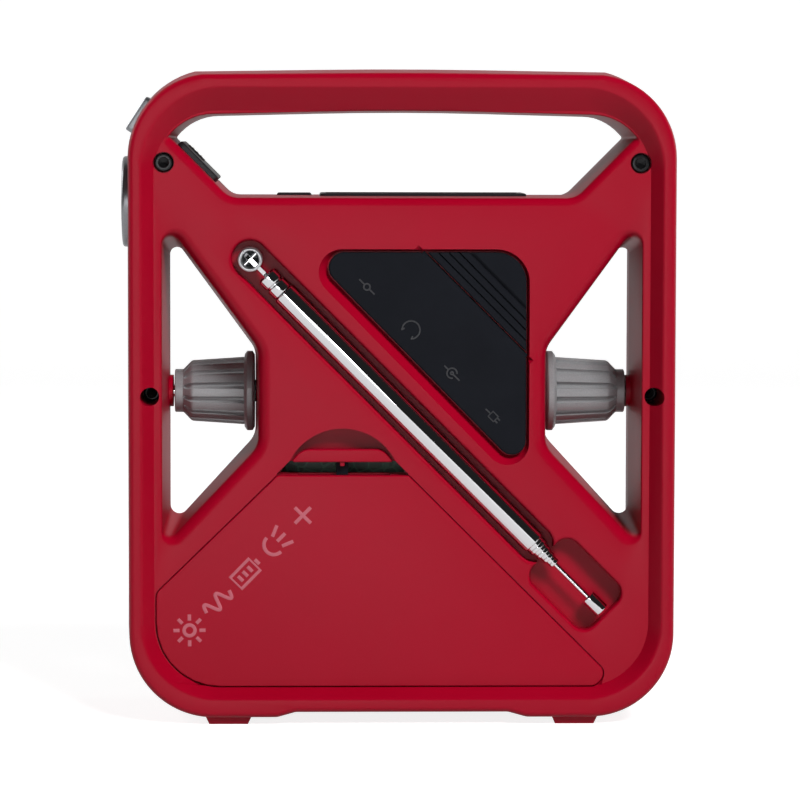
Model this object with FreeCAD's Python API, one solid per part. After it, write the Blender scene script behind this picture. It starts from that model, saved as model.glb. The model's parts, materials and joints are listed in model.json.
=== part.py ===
import FreeCAD, Part
import math
import os

# Emergency radio: two red half shells that form a carrying frame round an X-shaped body.
# +X is to the right when the back is looked at, -Y is the back, +Y the front, +Z is up.
# The origin is the middle of the footprint, on the plane that the feet stand on.

os.makedirs("parts", exist_ok=True)
V = FreeCAD.Vector

# ---- driving dimensions, in millimetres -------------------------------------------------
half_depth = 29.0          # parting plane to the crest of the rim, each side
rear_panel_y = -25.0       # back surface of the body
front_panel_y = 20.0       # front surface of the body, set lower to stow the crank
wall = 2.2                 # moulded wall thickness
rim_half_width = 74.4      # at the parting plane
rim_top = 175.2            # top of the frame beside the corners
crest_half_width = 72.95   # at the crest, after the draft
panel_half_width = 66.4    # foot of the rim's inner slope
waist = 39.5               # half width of the body between the side windows
rail_inside = 62.8         # inner face of the side rails at the parting plane
knob_z = 88.1              # height of both knobs and of the crank
joint_gap = 0.3            # gap between pieces that move past each other
running = 0.06             # radial clearance of a running fit
flare_steps = 6            # slices of a rounded edge

antenna_base = V(-40.66, -24.5, 124.85)
antenna_fall = math.radians(45.0)
tube_radius = 3.25
tube_wall = 0.35
tube_step = 0.43           # how much smaller in radius each section is than the one before
tube_start = 12.65
tube_end = 107.75
section_count = 4
ring_length = 2.0          # how far each stowed section stands out of the one before
rod_radius = 0.6
cap_start = 128.3
cap_length = 5.4
cap_radius = 2.1

screw_radius = 1.25
top_screw = (63.7, 150.6)
rail_screw = (67.5, knob_z)
screw_tip_y = 12.0
rail_screw_seat_y = -8.0
top_screw_seat_y = -22.6


# ---- outline tools ----------------------------------------------------------------------
def rounded_wire(corners, y):
    """Closed wire in the plane at y: straight runs joined by tangent arcs.
    Each corner is (x, z, radius of its arc)."""
    count = len(corners)
    starts, mids, ends = [], [], []
    for index in range(count):
        x, z, radius = corners[index]
        here = V(x, y, z)
        before = V(corners[index - 1][0], y, corners[index - 1][1]) - here
        after = V(corners[(index + 1) % count][0], y, corners[(index + 1) % count][1]) - here
        before.normalize()
        after.normalize()
        half_angle = before.getAngle(after) / 2
        reach = radius / math.tan(half_angle)
        inward = before + after
        inward.normalize()
        centre = here + inward * (radius / math.sin(half_angle))
        starts.append(here + before * reach)
        mids.append(centre - inward * radius)
        ends.append(here + after * reach)
    edges = []
    for index in range(count):
        edges.append(Part.Arc(starts[index], mids[index], ends[index]).toShape())
        edges.append(Part.LineSegment(ends[index], starts[(index + 1) % count]).toShape())
    return Part.Wire(edges)


def mirrored(corners):
    """The same outline on the other side of X = 0, in the same turning sense."""
    return [(-x, z, radius) for x, z, radius in reversed(corners)]


def grown(corners, amounts):
    """Moves edge i (from corner i to the next) outwards by amounts[i], or by one amount."""
    count = len(corners)
    if isinstance(amounts, (int, float)):
        amounts = [amounts] * count
    area = 0
    for index in range(count):
        x, z, radius = corners[index]
        next_x, next_z, next_radius = corners[(index + 1) % count]
        area += x * next_z - next_x * z
    turn = 1 if area > 0 else -1
    lines = []
    for index in range(count):
        x, z, radius = corners[index]
        next_x, next_z, next_radius = corners[(index + 1) % count]
        length = math.hypot(next_x - x, next_z - z)
        along = ((next_x - x) / length, (next_z - z) / length)
        outward = (along[1] * turn, -along[0] * turn)
        lines.append((x + outward[0] * amounts[index], z + outward[1] * amounts[index], along))
    moved = []
    for index in range(count):
        x1, z1, (a1, b1) = lines[index - 1]
        x2, z2, (a2, b2) = lines[index]
        cross = a1 * b2 - b1 * a2
        step = ((x2 - x1) * b2 - (z2 - z1) * a2) / cross
        share = (amounts[index - 1] + amounts[index]) / 2
        convex = cross * turn > 0
        radius = corners[index][2] + (share if convex else -share)
        moved.append((x1 + a1 * step, z1 + b1 * step, max(radius, 0.3)))
    return moved


def between(first, second, share):
    """The outline a given share of the way from one to the other."""
    return [tuple(a + (b - a) * share for a, b in zip(p, q)) for p, q in zip(first, second)]


def prism(corners, y_from, y_to):
    return Part.Face(rounded_wire(corners, y_from)).extrude(V(0, y_to - y_from, 0))


def flared_cutter(parting, panel, edge_radii, panel_y):
    """Solid to cut a through opening: it follows the mould draft from the parting plane to
    the panel, and there opens out in quarter rounds, of its own radius on each edge."""
    largest = max(edge_radii)
    reach = abs(panel_y)
    sections = [rounded_wire(parting, 0.0)]
    for step in range(flare_steps + 1):
        depth = largest * (1 - math.sin(math.pi / 2 * step / flare_steps))
        amounts = []
        for radius in edge_radii:
            inside = max(radius - depth, 0.0)
            amounts.append(radius - math.sqrt(radius ** 2 - inside ** 2))
        here = between(parting, panel, (reach - depth) / abs(rear_panel_y))
        sections.append(rounded_wire(grown(here, amounts), -(reach - depth)))
    last = grown(between(parting, panel, reach / abs(rear_panel_y)), edge_radii)
    sections.append(rounded_wire(last, -half_depth - 1))
    return Part.makeLoft(sections, True, True)


def rounded_pocket(corners, floor_y, panel_y, lip):
    """Pocket cutter on the back: straight walls from the floor, with a rounded lip."""
    sections = [rounded_wire(corners, floor_y)]
    for step in range(flare_steps + 1):
        angle = math.pi / 2 * step / flare_steps
        depth = lip * (1 - math.sin(angle))
        sections.append(rounded_wire(grown(corners, lip * (1 - math.cos(angle))), panel_y + depth))
    sections.append(rounded_wire(grown(corners, lip), -half_depth - 1))
    return Part.makeLoft(sections, True, True)


def box(x_from, x_to, y_from, y_to, z_from, z_to):
    return Part.makeBox(x_to - x_from, y_to - y_from, z_to - z_from, V(x_from, y_from, z_from))


def rod(radius, start, direction, length):
    return Part.makeCylinder(radius, length, start, direction)


def turned(profile, start, direction):
    """Solid of revolution. The profile is a closed list of (distance along, radius)."""
    points = [V(radius, 0, along) for along, radius in profile]
    face = Part.Face(Part.makePolygon(points + [points[0]]))
    solid = face.revolve(V(0, 0, 0), V(0, 0, 1), 360)
    solid.Placement = FreeCAD.Placement(start, FreeCAD.Rotation(V(0, 0, 1), direction))
    return solid


def slanted_box(centre, along, normal, length, thickness_out, thickness_in, y_from, y_to):
    """Box on a slanted face: length along the face, from thickness_in below the centre
    point to thickness_out above it, between two Y planes."""
    corners = []
    for side, height in ((-0.5, -thickness_in), (0.5, -thickness_in), (0.5, thickness_out),
                         (-0.5, thickness_out)):
        point = centre + along * (side * length) + normal * height
        corners.append(V(point.x, y_from, point.z))
    return Part.Face(Part.makePolygon(corners + [corners[0]])).extrude(V(0, y_to - y_from, 0))


def together(shapes):
    return Part.makeCompound(shapes)


def save(name, shape):
    if not shape.isValid():
        print("not valid:", name)
    shape.exportStep("parts/" + name + ".step")


# ---- outlines, each given at the parting plane and at the back panel ----------------------
outer_parting = [(-56, rim_top, 0.6), (0, rim_top + 0.85, 1500), (56, rim_top, 0.6),
                 (rim_half_width, 170.4, 24.5), (rim_half_width, 1.0, 22.5), (33.5, 1.0, 4), (28.5, 2.3, 4),
                 (-28.5, 2.3, 4), (-33.5, 1.0, 4), (-rim_half_width, 1.0, 22.5), (-rim_half_width, 170.4, 24.5)]
outer_crest = [(-53, 174.0, 0.6), (0, 174.5, 1500), (53, 174.0, 0.6),
               (crest_half_width, 171.7, 22.3), (crest_half_width, 2.1, 22.5), (33.5, 2.1, 4), (28.5, 3.5, 4),
               (-28.5, 3.5, 4), (-33.5, 2.1, 4), (-crest_half_width, 2.1, 22.5), (-crest_half_width, 171.7, 22.3)]
slope_width = 3.2
recess_floor = [(-panel_half_width, 164.4, 17.0), (panel_half_width, 164.4, 17.0),
                (panel_half_width, 9.8, 17.4), (-panel_half_width, 9.8, 17.4)]
recess_mouth = grown(recess_floor, [6.3, slope_width, slope_width - 0.6, slope_width])
window_parting = [(-rail_inside, 131.3, 1.9), (-waist, 99.5, 6), (-waist, 76.0, 6.5), (-rail_inside, 50.6, 2.4)]
window_panel = [(-64.3, 136.6, 2.6), (-38.5, 101.1, 7), (-38.5, 74.4, 7), (-64.3, 47.0, 2.0)]
window_edge_radii = [3.0, 3.4, 3.0, 0.5]
opening_parting = [(-56.4, 162.9, 14.5), (0, 164.3, 900), (56.4, 162.9, 14.5), (61.3, 157.2, 0.6),
                   (46.0, 141.8, 5), (-45.6, 141.8, 5), (-61.0, 157.2, 0.6)]
opening_panel = [(-57.2, 163.3, 15.0), (0, 164.7, 900), (57.2, 163.3, 15.0), (62.6, 157.5, 0.6),
                 (46.4, 141.2, 6), (-46.2, 141.2, 6), (-62.5, 157.5, 0.6)]
opening_edge_radii = [0.4, 0.4, 0.4, 2.2, 2.2, 2.2, 0.4]

door_outline = [(-33.4, 66.9, 1.0), (1.8, 66.9, 1.0), (55.5, 13.4, 2.7), (52.1, 10.0, 2.7),
                (-65.9, 10.0, 17.2), (-65.9, 35.3, 3.0)]
door_thickness = 2.0
door_hinge = (-24.0, 11.0)           # y and z of the axis along the bottom edge
bay = (-50.0, 17.0, 13.6, 47.6)      # x from, x to, z from, z to
bay_floor_y = -9.0

cover_outline = [(-25.4, 126.7, 4.1), (33.2, 126.7, 8.0), (33.2, 67.06, 3.7)]
cover_pocket_floor_y = -22.3
cover_back_y = -24.7
cover_lift = 0.05                    # clearance under the cover
cover_split = 133.2                  # the flap bends along the line x + z = cover_split
port_places = [(-8.6, 113.9), (1.6, 105.9), (12.3, 95.3), (23.5, 83.2)]

bezel_z = 139.8
bezel_radius = 12.35
corner_face = V(-71.6, 0, 163.8)
corner_along = V(0.546, 0, 0.838)
corner_out = V(-0.838, 0, 0.546)
corner_length = 10.6
corner_half_width = 8.0
down_right = V(math.sqrt(0.5), 0, -math.sqrt(0.5))   # along the left arm of the body
up_right = V(math.sqrt(0.5), 0, math.sqrt(0.5))
arm_start = V(-61.0, 0, 157.2)
flap_roll_radius = (cover_pocket_floor_y - cover_lift - cover_back_y) / 2
flap_axis_total = cover_split - (joint_gap / 2 + flap_roll_radius) * math.sqrt(2)
flap_axis = V(flap_axis_total / 2, cover_back_y + flap_roll_radius, flap_axis_total / 2)
swing_room = 0.1                     # cut round the door and the flap as they open
swing_steps = 6
door_swing = 70.0
flap_swing = 90.0
plate_place = arm_start + down_right * 9.0
plate_depth = (-19.0, 17.0)          # the plate's two ends, in Y
solar = (-22.0, 34.0, -11.0, 11.0)
solar_seat_z = 139.8
solar_top_z = 142.3
light_button = (-33.7, -24.2, -5.0, 5.0)

hub_radius = 10.0
crank_shaft_radius = 3.0
bearing_radius = 5.0
grip_axis_y = 24.8
grip_pivot_x = 35.0
grip_radius = 4.0
fork_inner = 4.7
fork_outer = 8.0

gear_module = 0.8
crank_teeth = 36
idler_pinion_teeth = 12
idler_teeth = 30
rotor_teeth = 10
idler_x = -gear_module * (crank_teeth + idler_pinion_teeth) / 2
rotor_z = knob_z + gear_module * (idler_teeth + rotor_teeth) / 2
crank_gear_y = (13.0, 15.5)
idler_gear_y = (9.9, 12.2)
generator_radius = 8.0

board_thickness = 1.6
main_board_y = 6.0
speaker_z = 44.0
speaker_radius = 18.0
display = (-34.0, 34.0, 112.0, 134.0)
front_button_xs = (-24.0, 0.0, 24.0)
front_button_z = 104.9
front_button_size = (10.0, 4.4)


# ---- the antenna's own axes --------------------------------------------------------------
antenna_along = V(math.cos(antenna_fall), 0, -math.sin(antenna_fall))
antenna_across = V(math.sin(antenna_fall), 0, math.cos(antenna_fall))


def on_antenna(along, across=0.0):
    return antenna_base + antenna_along * along + antenna_across * across


def antenna_strip(along_from, along_to, half_width, corner):
    """Outline of a strip along the antenna, with rounded corners."""
    corners = []
    for along, across in ((along_from, -half_width), (along_from, half_width),
                          (along_to, half_width), (along_to, -half_width)):
        point = on_antenna(along, across)
        corners.append((point.x, point.z, corner))
    return corners


antenna_groove = antenna_strip(-5.0, 113.0, 4.8, 4.75)
groove_floor_y = -20.6
tip_pocket = antenna_strip(112.1, 135.1, 8.2, 3.8)
tip_pocket_floor_y = -20.0
scoop = [(-34.0, 67.0, 0.3), (-30.0, 71.0, 0.3), (-15.95, 96.1, 15.8), (-1.9, 71.0, 0.3), (2.1, 67.0, 0.3)]
scoop_floor_y = -19.6
latch_gap = [(-33.0, 67.2, 0.3), (-30.2, 70.4, 0.3), (-1.7, 70.4, 0.3), (1.3, 67.2, 0.3)]
latch_gap_depth_y = -14.0


# ---- housing -----------------------------------------------------------------------------
def outer_block():
    return Part.makeLoft([rounded_wire(outer_crest, -half_depth), rounded_wire(outer_parting, 0)], True, True)


def rim_and_panel(panel_y):
    """Half shell as a full block on the back side: drafted rim, slope and panel, with the
    handle opening and both side windows through it."""
    shell = outer_block()
    rim_edges = [edge for edge in shell.Edges if all(abs(v.Y + half_depth) < 1e-4 for v in edge.Vertexes)]
    shell = shell.makeFillet(1.5, rim_edges)
    recess = Part.makeLoft([rounded_wire(recess_mouth, -half_depth), rounded_wire(recess_floor, panel_y)],
                           True, True)
    shell = shell.cut(recess)
    inner_edges = []
    for edge in shell.Edges:
        flat = edge.BoundBox.YLength < 1e-4 and abs(edge.BoundBox.YMin + half_depth) < 1e-3
        inside = edge.BoundBox.ZMin > 6.9 and edge.BoundBox.ZMax < rim_top - 3.5
        if flat and inside and abs(edge.CenterOfMass.x) < panel_half_width + slope_width + 0.2:
            inner_edges.append(edge)
    shell = shell.makeFillet(1.2, inner_edges)
    openings = [flared_cutter(window_parting, window_panel, window_edge_radii, panel_y),
                flared_cutter(mirrored(window_parting), mirrored(window_panel),
                              [window_edge_radii[i] for i in (2, 1, 0, 3)], panel_y),
                flared_cutter(opening_parting, opening_panel, opening_edge_radii, panel_y)]
    for cutter in openings:
        shell = shell.cut(cutter)
    return shell


def cavity(panel_y, kept):
    """Hollow of a half shell, less the solid blocks that are kept for bosses and pockets."""
    inner_face = panel_y + wall
    hollow = prism(grown(between(outer_parting, outer_crest, 1.0), -2.6), inner_face, 1)
    for outline in (window_panel, mirrored(window_panel), opening_panel):
        hollow = hollow.cut(prism(grown(outline, 2.3), inner_face - 1, 2))
    for block in kept:
        hollow = hollow.cut(block)
    return hollow


def mirrored_front(shape):
    return shape.mirror(V(0, 0, 0), V(0, 1, 0))


def shared_side_cuts():
    """Cut-outs that cross the parting plane: lamp, corner button, knob stems, top fittings."""
    cuts = [rod(bezel_radius + 0.05, V(-70.2, 0, bezel_z), V(-1, 0, 0), 10),
            rod(9.6, V(-66.4, 0, bezel_z), V(-1, 0, 0), 10),
            slanted_box(corner_face, corner_along, corner_out, corner_length + 0.6, 6, 6.2,
                        -corner_half_width - 0.3, corner_half_width + 0.3),
            box(solar[0], solar[1], solar[2], solar[3], solar_seat_z, solar_top_z + 6),
            box(light_button[0] - joint_gap, light_button[1] + joint_gap, light_button[2] - joint_gap,
                light_button[3] + joint_gap, 134.6, solar_top_z + 6),
            slanted_box(plate_place, down_right, up_right, 14.4, 6, 1.6, plate_depth[0] - 0.2, plate_depth[1] + 0.2),
            slanted_box(plate_place, down_right, up_right, 11.4, 0, 4.6, -3.4, 3.4)]
    for side in (-1, 1):
        cuts.append(rod(3.3, V(side * 30, 0, knob_z), V(side, 0, 0), 14))
        cuts.append(rod(1.75, V(side * 61, 0, knob_z), V(side, 0, 0), 4.5))
    return cuts


def kept_round_side_fittings():
    """Solid blocks left standing in the hollow behind the side fittings."""
    return [rod(14.5, V(-62, 0, bezel_z), V(-1, 0, 0), 12),
            slanted_box(corner_face, corner_along, corner_out, corner_length + 5, 2, 8.4, -10.5, 10.5),
            slanted_box(plate_place, down_right, up_right, 17, 1, 6.4, plate_depth[0] - 2.4, plate_depth[1] + 1.6),
            box(solar[0] - 2, solar[1] + 2, solar[2] - 2, solar[3] + 2, solar_seat_z - 1.8, 145),
            rod(6.0, V(-72, 0, knob_z), V(1, 0, 0), 12),
            rod(6.0, V(60, 0, knob_z), V(1, 0, 0), 12)]


def rail_bosses(y_from, y_to):
    """Low domed bosses on the rails' inner faces, which carry the knobs' outer pins."""
    bosses = []
    for side in (-1, 1):
        boss = rod(4.35, V(side * 61.9, 0, knob_z), V(side, 0, 0), 3)
        bosses.append(boss.common(box(-80, 80, y_from, y_to, knob_z - 10, knob_z + 10)))
    return bosses


def screw_blocks(y_from, y_to):
    blocks = []
    for x, z in (top_screw, rail_screw):
        for side in (-1, 1):
            blocks.append(rod(4.6, V(side * x, y_from, z), V(0, 1, 0), y_to - y_from))
    return blocks


def make_rear_housing():
    shell = rim_and_panel(rear_panel_y)
    bay_x0, bay_x1, bay_z0, bay_z1 = bay
    kept = screw_blocks(-half_depth, 1) + kept_round_side_fittings()
    kept.append(prism(grown(antenna_groove, 1.8), -half_depth, groove_floor_y + wall))
    kept.append(prism(grown(tip_pocket, 1.8), -half_depth, tip_pocket_floor_y + wall))
    kept.append(prism(grown(cover_outline, 3.4), -half_depth, cover_pocket_floor_y + wall))
    kept.append(prism(grown(scoop, 2.0), -half_depth, scoop_floor_y + wall))
    kept.append(prism(grown(door_outline, 1.6), -half_depth, rear_panel_y + door_thickness + 2.6))
    kept.append(box(bay_x0 - wall, bay_x1 + wall, -half_depth, bay_floor_y + wall, bay_z0 - 8, bay_z1 + wall))
    shell = shell.cut(cavity(rear_panel_y, kept))
    for boss in rail_bosses(-10, 0):
        shell = shell.fuse(boss)
    cuts = shared_side_cuts()
    cuts.append(rounded_pocket(antenna_groove, groove_floor_y, rear_panel_y, 1.0))
    cuts.append(rounded_pocket(tip_pocket, tip_pocket_floor_y, rear_panel_y, 0.8))
    cover_floor = grown(cover_outline, 0.3)
    cover_mouth = grown(cover_outline, [0.9, 0.9, 3.4])
    cuts.append(Part.makeLoft([rounded_wire(cover_floor, cover_pocket_floor_y),
                               rounded_wire(cover_mouth, rear_panel_y)], True, True))
    cuts.append(prism(cover_mouth, rear_panel_y, -half_depth - 1))
    cuts.append(prism(grown(door_outline, 0.25), rear_panel_y + door_thickness + 0.2, -half_depth - 1))
    for step in range(1, swing_steps + 1):
        cuts.append(turned_about(door_plate(swing_room), V(0, *door_hinge), V(1, 0, 0),
                                 door_swing * step / swing_steps))
        cuts.append(turned_about(flap_plate(swing_room), flap_axis, down_right * -1,
                                 flap_swing * step / swing_steps))
    cuts.append(box(bay_x0, bay_x1, rear_panel_y, bay_floor_y, bay_z0, bay_z1))
    cuts.append(prism(scoop, scoop_floor_y, -half_depth - 1))
    cuts.append(prism(latch_gap, latch_gap_depth_y, -half_depth - 1))
    cuts.append(box(-28, -3, rear_panel_y, scoop_floor_y, 60, 70))
    for index, (x, z) in enumerate(port_places):
        hole = 4.0 if index == 3 else 3.0
        cuts.append(rod(hole, V(x, -half_depth, z), V(0, 1, 0), half_depth - 15))
    for side in (-1, 1):
        x, z = top_screw
        cuts.append(rod(2.8, V(side * x, -half_depth - 1, z), V(0, 1, 0), half_depth + 1 + top_screw_seat_y))
        cuts.append(rod(screw_radius + 0.15, V(side * x, -half_depth, z), V(0, 1, 0), half_depth + 1))
        x, z = rail_screw
        cuts.append(rod(2.5, V(side * x, -half_depth - 1, z), V(0, 1, 0), half_depth + 1 + rail_screw_seat_y))
        cuts.append(rod(screw_radius + 0.15, V(side * x, -half_depth, z), V(0, 1, 0), half_depth + 1))
    for cutter in cuts:
        shell = shell.cut(cutter)
    return shell


def make_front_housing():
    shell = rim_and_panel(-front_panel_y)
    kept = screw_blocks(-half_depth, 1) + kept_round_side_fittings()
    shell = mirrored_front(shell.cut(cavity(-front_panel_y, kept)))
    for boss in rail_bosses(0, 10):
        shell = shell.fuse(boss)
    cuts = shared_side_cuts()
    x0, x1, z0, z1 = display
    cuts.append(box(x0, x1, front_panel_y - 1.2, half_depth, z0, z1))
    cuts.append(box(x0 + 3, x1 - 3, front_panel_y - 4, half_depth, z0 + 3, z1 - 3))
    width, height = front_button_size
    for x in front_button_xs:
        cuts.append(box(x - width / 2 - 0.3, x + width / 2 + 0.3, 10, half_depth,
                        front_button_z - height / 2 - 0.3, front_button_z + height / 2 + 0.3))
    cuts.append(rod(speaker_radius + 2.5, V(0, front_panel_y - 1.0, speaker_z), V(0, 1, 0), 5))
    cuts.append(rod(speaker_radius, V(0, 10, speaker_z), V(0, 1, 0), 15))
    cuts.append(rod(bearing_radius, V(0, 10, knob_z), V(0, 1, 0), 20))
    for side in (-1, 1):
        for x, z in (top_screw, rail_screw):
            cuts.append(rod(screw_radius, V(side * x, -1, z), V(0, 1, 0), screw_tip_y + 1))
    for cutter in cuts:
        shell = shell.cut(cutter)
    return shell


def screw(x, z, seat_y, head_radius):
    """Cap screw with a hexagon socket, head towards the back."""
    head_height = 1.9
    socket_radius = 1.35
    socket_depth = 1.2
    body = rod(head_radius, V(x, seat_y - head_height, z), V(0, 1, 0), head_height)
    shank = rod(screw_radius, V(x, seat_y, z), V(0, 1, 0), screw_tip_y - seat_y)
    points = []
    for step in range(7):
        angle = step * math.pi / 3
        points.append(V(x + socket_radius * math.cos(angle), seat_y - head_height,
                        z + socket_radius * math.sin(angle)))
    socket = Part.Face(Part.makePolygon(points)).extrude(V(0, socket_depth, 0))
    return body.fuse(shank).cut(socket)


def make_screws():
    screws = []
    for side in (-1, 1):
        screws.append(screw(side * top_screw[0], top_screw[1], top_screw_seat_y, 2.55))
        screws.append(screw(side * rail_screw[0], rail_screw[1], rail_screw_seat_y, 2.3))
    return together(screws)


def make_feet():
    """A pad under each end, tapered towards the ground, seated on the housing's low corners."""
    feet = []
    for side in (-1, 1):
        x = side * 46.5
        top = [(x - 6.6, -27.3), (x + 6.6, -27.3), (x + 6.6, 27.3), (x - 6.6, 27.3)]
        low = [(x - 5.2, -26.2), (x + 5.2, -26.2), (x + 5.2, 26.2), (x - 5.2, 26.2)]
        wires = []
        for outline, z in ((low, 0.0), (top, 3.2)):
            points = [V(px, py, z) for px, py in outline]
            wires.append(Part.makePolygon(points + [points[0]]))
        pad = Part.makeLoft(wires, True, True)
        feet.append(pad.cut(outer_block()).cut(mirrored_front(outer_block())))
    return together(feet)


# ---- battery door and what is behind it ----------------------------------------------------
def turned_about(shape, axis_point, axis_direction, degrees):
    moved = shape.copy()
    moved.rotate(axis_point, axis_direction, degrees)
    return moved


def door_plate(margin):
    """Flat plate whose bottom edge is half round about the axis that it tips out on."""
    hinge_y, hinge_z = door_hinge
    plate = prism(grown(door_outline, margin), rear_panel_y, rear_panel_y + door_thickness)
    flat = plate.common(box(-80, 80, -30, -20, hinge_z, 80))
    round_edge = plate.common(rod(door_thickness / 2, V(-80, hinge_y, hinge_z), V(1, 0, 0), 160))
    return flat.fuse(round_edge)


def make_battery_door():
    back = rear_panel_y + door_thickness
    finger = box(-27.4, -3.6, back, back + 1.0, 61.0, 66.4)
    return door_plate(0).fuse(finger)


def make_door_latch():
    """Sprung tab in the finger scoop: a curved lip on a leg that reaches behind the door."""
    lip = prism([(-29.4, 70.8, 0.4), (-26.4, 74.3, 4.5), (-5.4, 74.3, 4.5), (-2.4, 70.8, 0.4)],
                -23.9, -22.4)
    step = box(-24, -8, -22.5, -20.4, 71.0, 73.0)
    leg = box(-17.6, -14.4, -21.7, -20.4, 63.0, 72.0)
    return lip.fuse(step).fuse(leg)


def make_cells():
    cells = []
    for row in range(3):
        z = bay[2] + 6.0 + row * 11.2
        body = turned([(0, 0), (0, 4.9), (0.6, 5.2), (43.0, 5.2), (43.6, 4.7), (43.6, 1.9), (44.5, 1.9),
                       (44.5, 0)], V(bay[0] + 3.0, -16.2, z), V(1, 0, 0))
        cells.append(body)
    return together(cells)


def make_contacts():
    """A plate at each end of every cell: flat at the tip end, dished at the spring end."""
    plates = []
    for row in range(3):
        z = bay[2] + 6.0 + row * 11.2
        plates.append(box(bay[0] + 0.1, bay[0] + 0.5, -20, -12.4, z - 4, z + 4))
        plates.append(turned([(0, 0), (0, 3.6), (0.5, 3.6), (2.4, 2.2), (2.4, 0)],
                             V(bay[0] + 0.5, -16.2, z), V(1, 0, 0)))
        plates.append(box(bay[0] + 47.6, bay[0] + 48.1, -20, -12.4, z - 4, z + 4))
    return together(plates)


def make_rechargeable_pack():
    return box(bay[0] + 50.5, bay[1] - 0.8, -21.5, bay_floor_y - 0.4, bay[2] + 1.2, bay[3] - 1.2)


# ---- port cover and sockets -----------------------------------------------------------------
def beside_line(total, sign):
    """Block that holds everything where x + z is below (sign -1) or above (sign 1) the total."""
    return slanted_box(V(total / 2, 0, total / 2), down_right, up_right * sign, 200, 100, 0, -half_depth, 0)


def make_port_cover_anchor():
    cover = prism(cover_outline, cover_back_y, cover_pocket_floor_y - cover_lift)
    return cover.common(beside_line(cover_split + joint_gap / 2 * math.sqrt(2), 1))


def flap_plate(margin):
    """The part of the cover that opens. Its edge is half round about the line that it bends on."""
    cover = prism(grown(cover_outline, margin), cover_back_y, cover_pocket_floor_y - cover_lift)
    flat = cover.common(beside_line(flap_axis.x + flap_axis.z, -1))
    roll = cover.common(rod(flap_roll_radius, flap_axis - down_right * 100, down_right, 200))
    return flat.fuse(roll)


def make_port_cover_flap():
    return flap_plate(0)


def make_port_sockets():
    sockets = []
    for index, (x, z) in enumerate(port_places):
        radius = 3.8 if index == 3 else 2.8
        bore = 2.7 if index == 3 else 1.75
        shell = rod(radius, V(x, cover_pocket_floor_y + 0.4, z), V(0, 1, 0), 12)
        sockets.append(shell.cut(rod(bore, V(x, cover_pocket_floor_y, z), V(0, 1, 0), 10)))
    return together(sockets)


def make_port_board():
    outline = [(-16, 118, 2), (30, 118, 2), (30, 76, 2), (22, 76, 2)]
    back_y = cover_pocket_floor_y + 12.4
    return prism(outline, back_y, back_y + board_thickness)


# ---- antenna ----------------------------------------------------------------------------------
def section_radius(index):
    return tube_radius - tube_step * index - 0.05 * min(index, 1)


def make_antenna_base():
    """Round cup in the groove, slotted for the knuckle's blade."""
    ring_radius = 3.35
    stud = turned([(0, 0), (0, ring_radius), (5.8, ring_radius), (6.2, ring_radius - 0.4), (6.2, 0)],
                  V(antenna_base.x, groove_floor_y, antenna_base.z), V(0, -1, 0))
    hollow = rod(2.35, V(antenna_base.x, groove_floor_y - 2.0, antenna_base.z), V(0, -1, 0), 6)
    slot_half = 0.95
    corners = []
    for along, across in ((-2.6, -slot_half), (-2.6, slot_half), (6, slot_half), (6, -slot_half)):
        point = on_antenna(along, across)
        corners.append((point.x, point.z, 0.1))
    slot = prism(corners, groove_floor_y - 0.9, -30)
    return stud.cut(hollow).cut(slot).cut(rod(0.6, on_antenna(0, -4), antenna_across, 8))


def make_antenna_pin():
    return rod(0.6, on_antenna(0, -3.1), antenna_across, 6.2)


def make_antenna_knuckle():
    """Flat blade on the pin, two stepped collars and a spigot that the tube turns on."""
    blade = rod(2.4, on_antenna(0, -0.7), antenna_across, 1.4)
    tongue_corners = []
    for along, across in ((0.0, -0.7), (0.0, 0.7), (7.4, 0.7), (7.4, -0.7)):
        point = on_antenna(along, across)
        tongue_corners.append((point.x, point.z, 0.05))
    tongue = prism(tongue_corners, antenna_base.y - 1.2, antenna_base.y + 1.2)
    spigot = section_radius(0) - tube_wall - running
    ring, neck = 2.95, 2.5
    collars = turned([(5.9, 0), (5.9, 2.3), (6.4, ring), (8.8, ring), (9.1, ring - 0.2), (9.1, neck), (9.5, neck),
                      (9.5, ring - 0.2), (9.8, ring), (12.3, ring), (tube_start - 0.1, ring - 0.2),
                      (tube_start - 0.1, spigot), (tube_start + 3.6, spigot), (tube_start + 3.6, 0)],
                     antenna_base, antenna_along)
    return blade.fuse(tongue).fuse(collars).cut(rod(0.6 + running, on_antenna(0, -1), antenna_across, 2))


def make_antenna_tube():
    radius = section_radius(0)
    bore = radius - tube_wall
    return turned([(tube_start, bore), (tube_start, radius), (tube_end - 0.5, radius),
                   (tube_end, radius - 0.25), (tube_end, bore)], antenna_base, antenna_along)


def make_antenna_section(index):
    radius = section_radius(index)
    bore = radius - tube_wall
    start = tube_start + 4.6 + index
    end = tube_end + ring_length * index
    profile = [(start, bore), (start, radius), (end - 0.4, radius), (end, radius - 0.2), (end, bore)]
    if index == section_count:
        mouth = rod_radius + running
        profile = profile[:-2] + [(end, radius - 0.2), (end, mouth), (end - 1.6, mouth), (end - 1.6, bore)]
    return turned(profile, antenna_base, antenna_along)


def make_antenna_tip():
    bush = section_radius(section_count) - tube_wall - running
    start = tube_start + 12
    cap_end = cap_start + cap_length
    return turned([(start, 0), (start, bush), (start + 4, bush), (start + 4, rod_radius),
                   (cap_start, rod_radius), (cap_start, cap_radius - 0.2), (cap_start + 0.3, cap_radius),
                   (cap_end - 0.3, cap_radius), (cap_end, cap_radius - 0.3), (cap_end, 0)], antenna_base, antenna_along)


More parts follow.
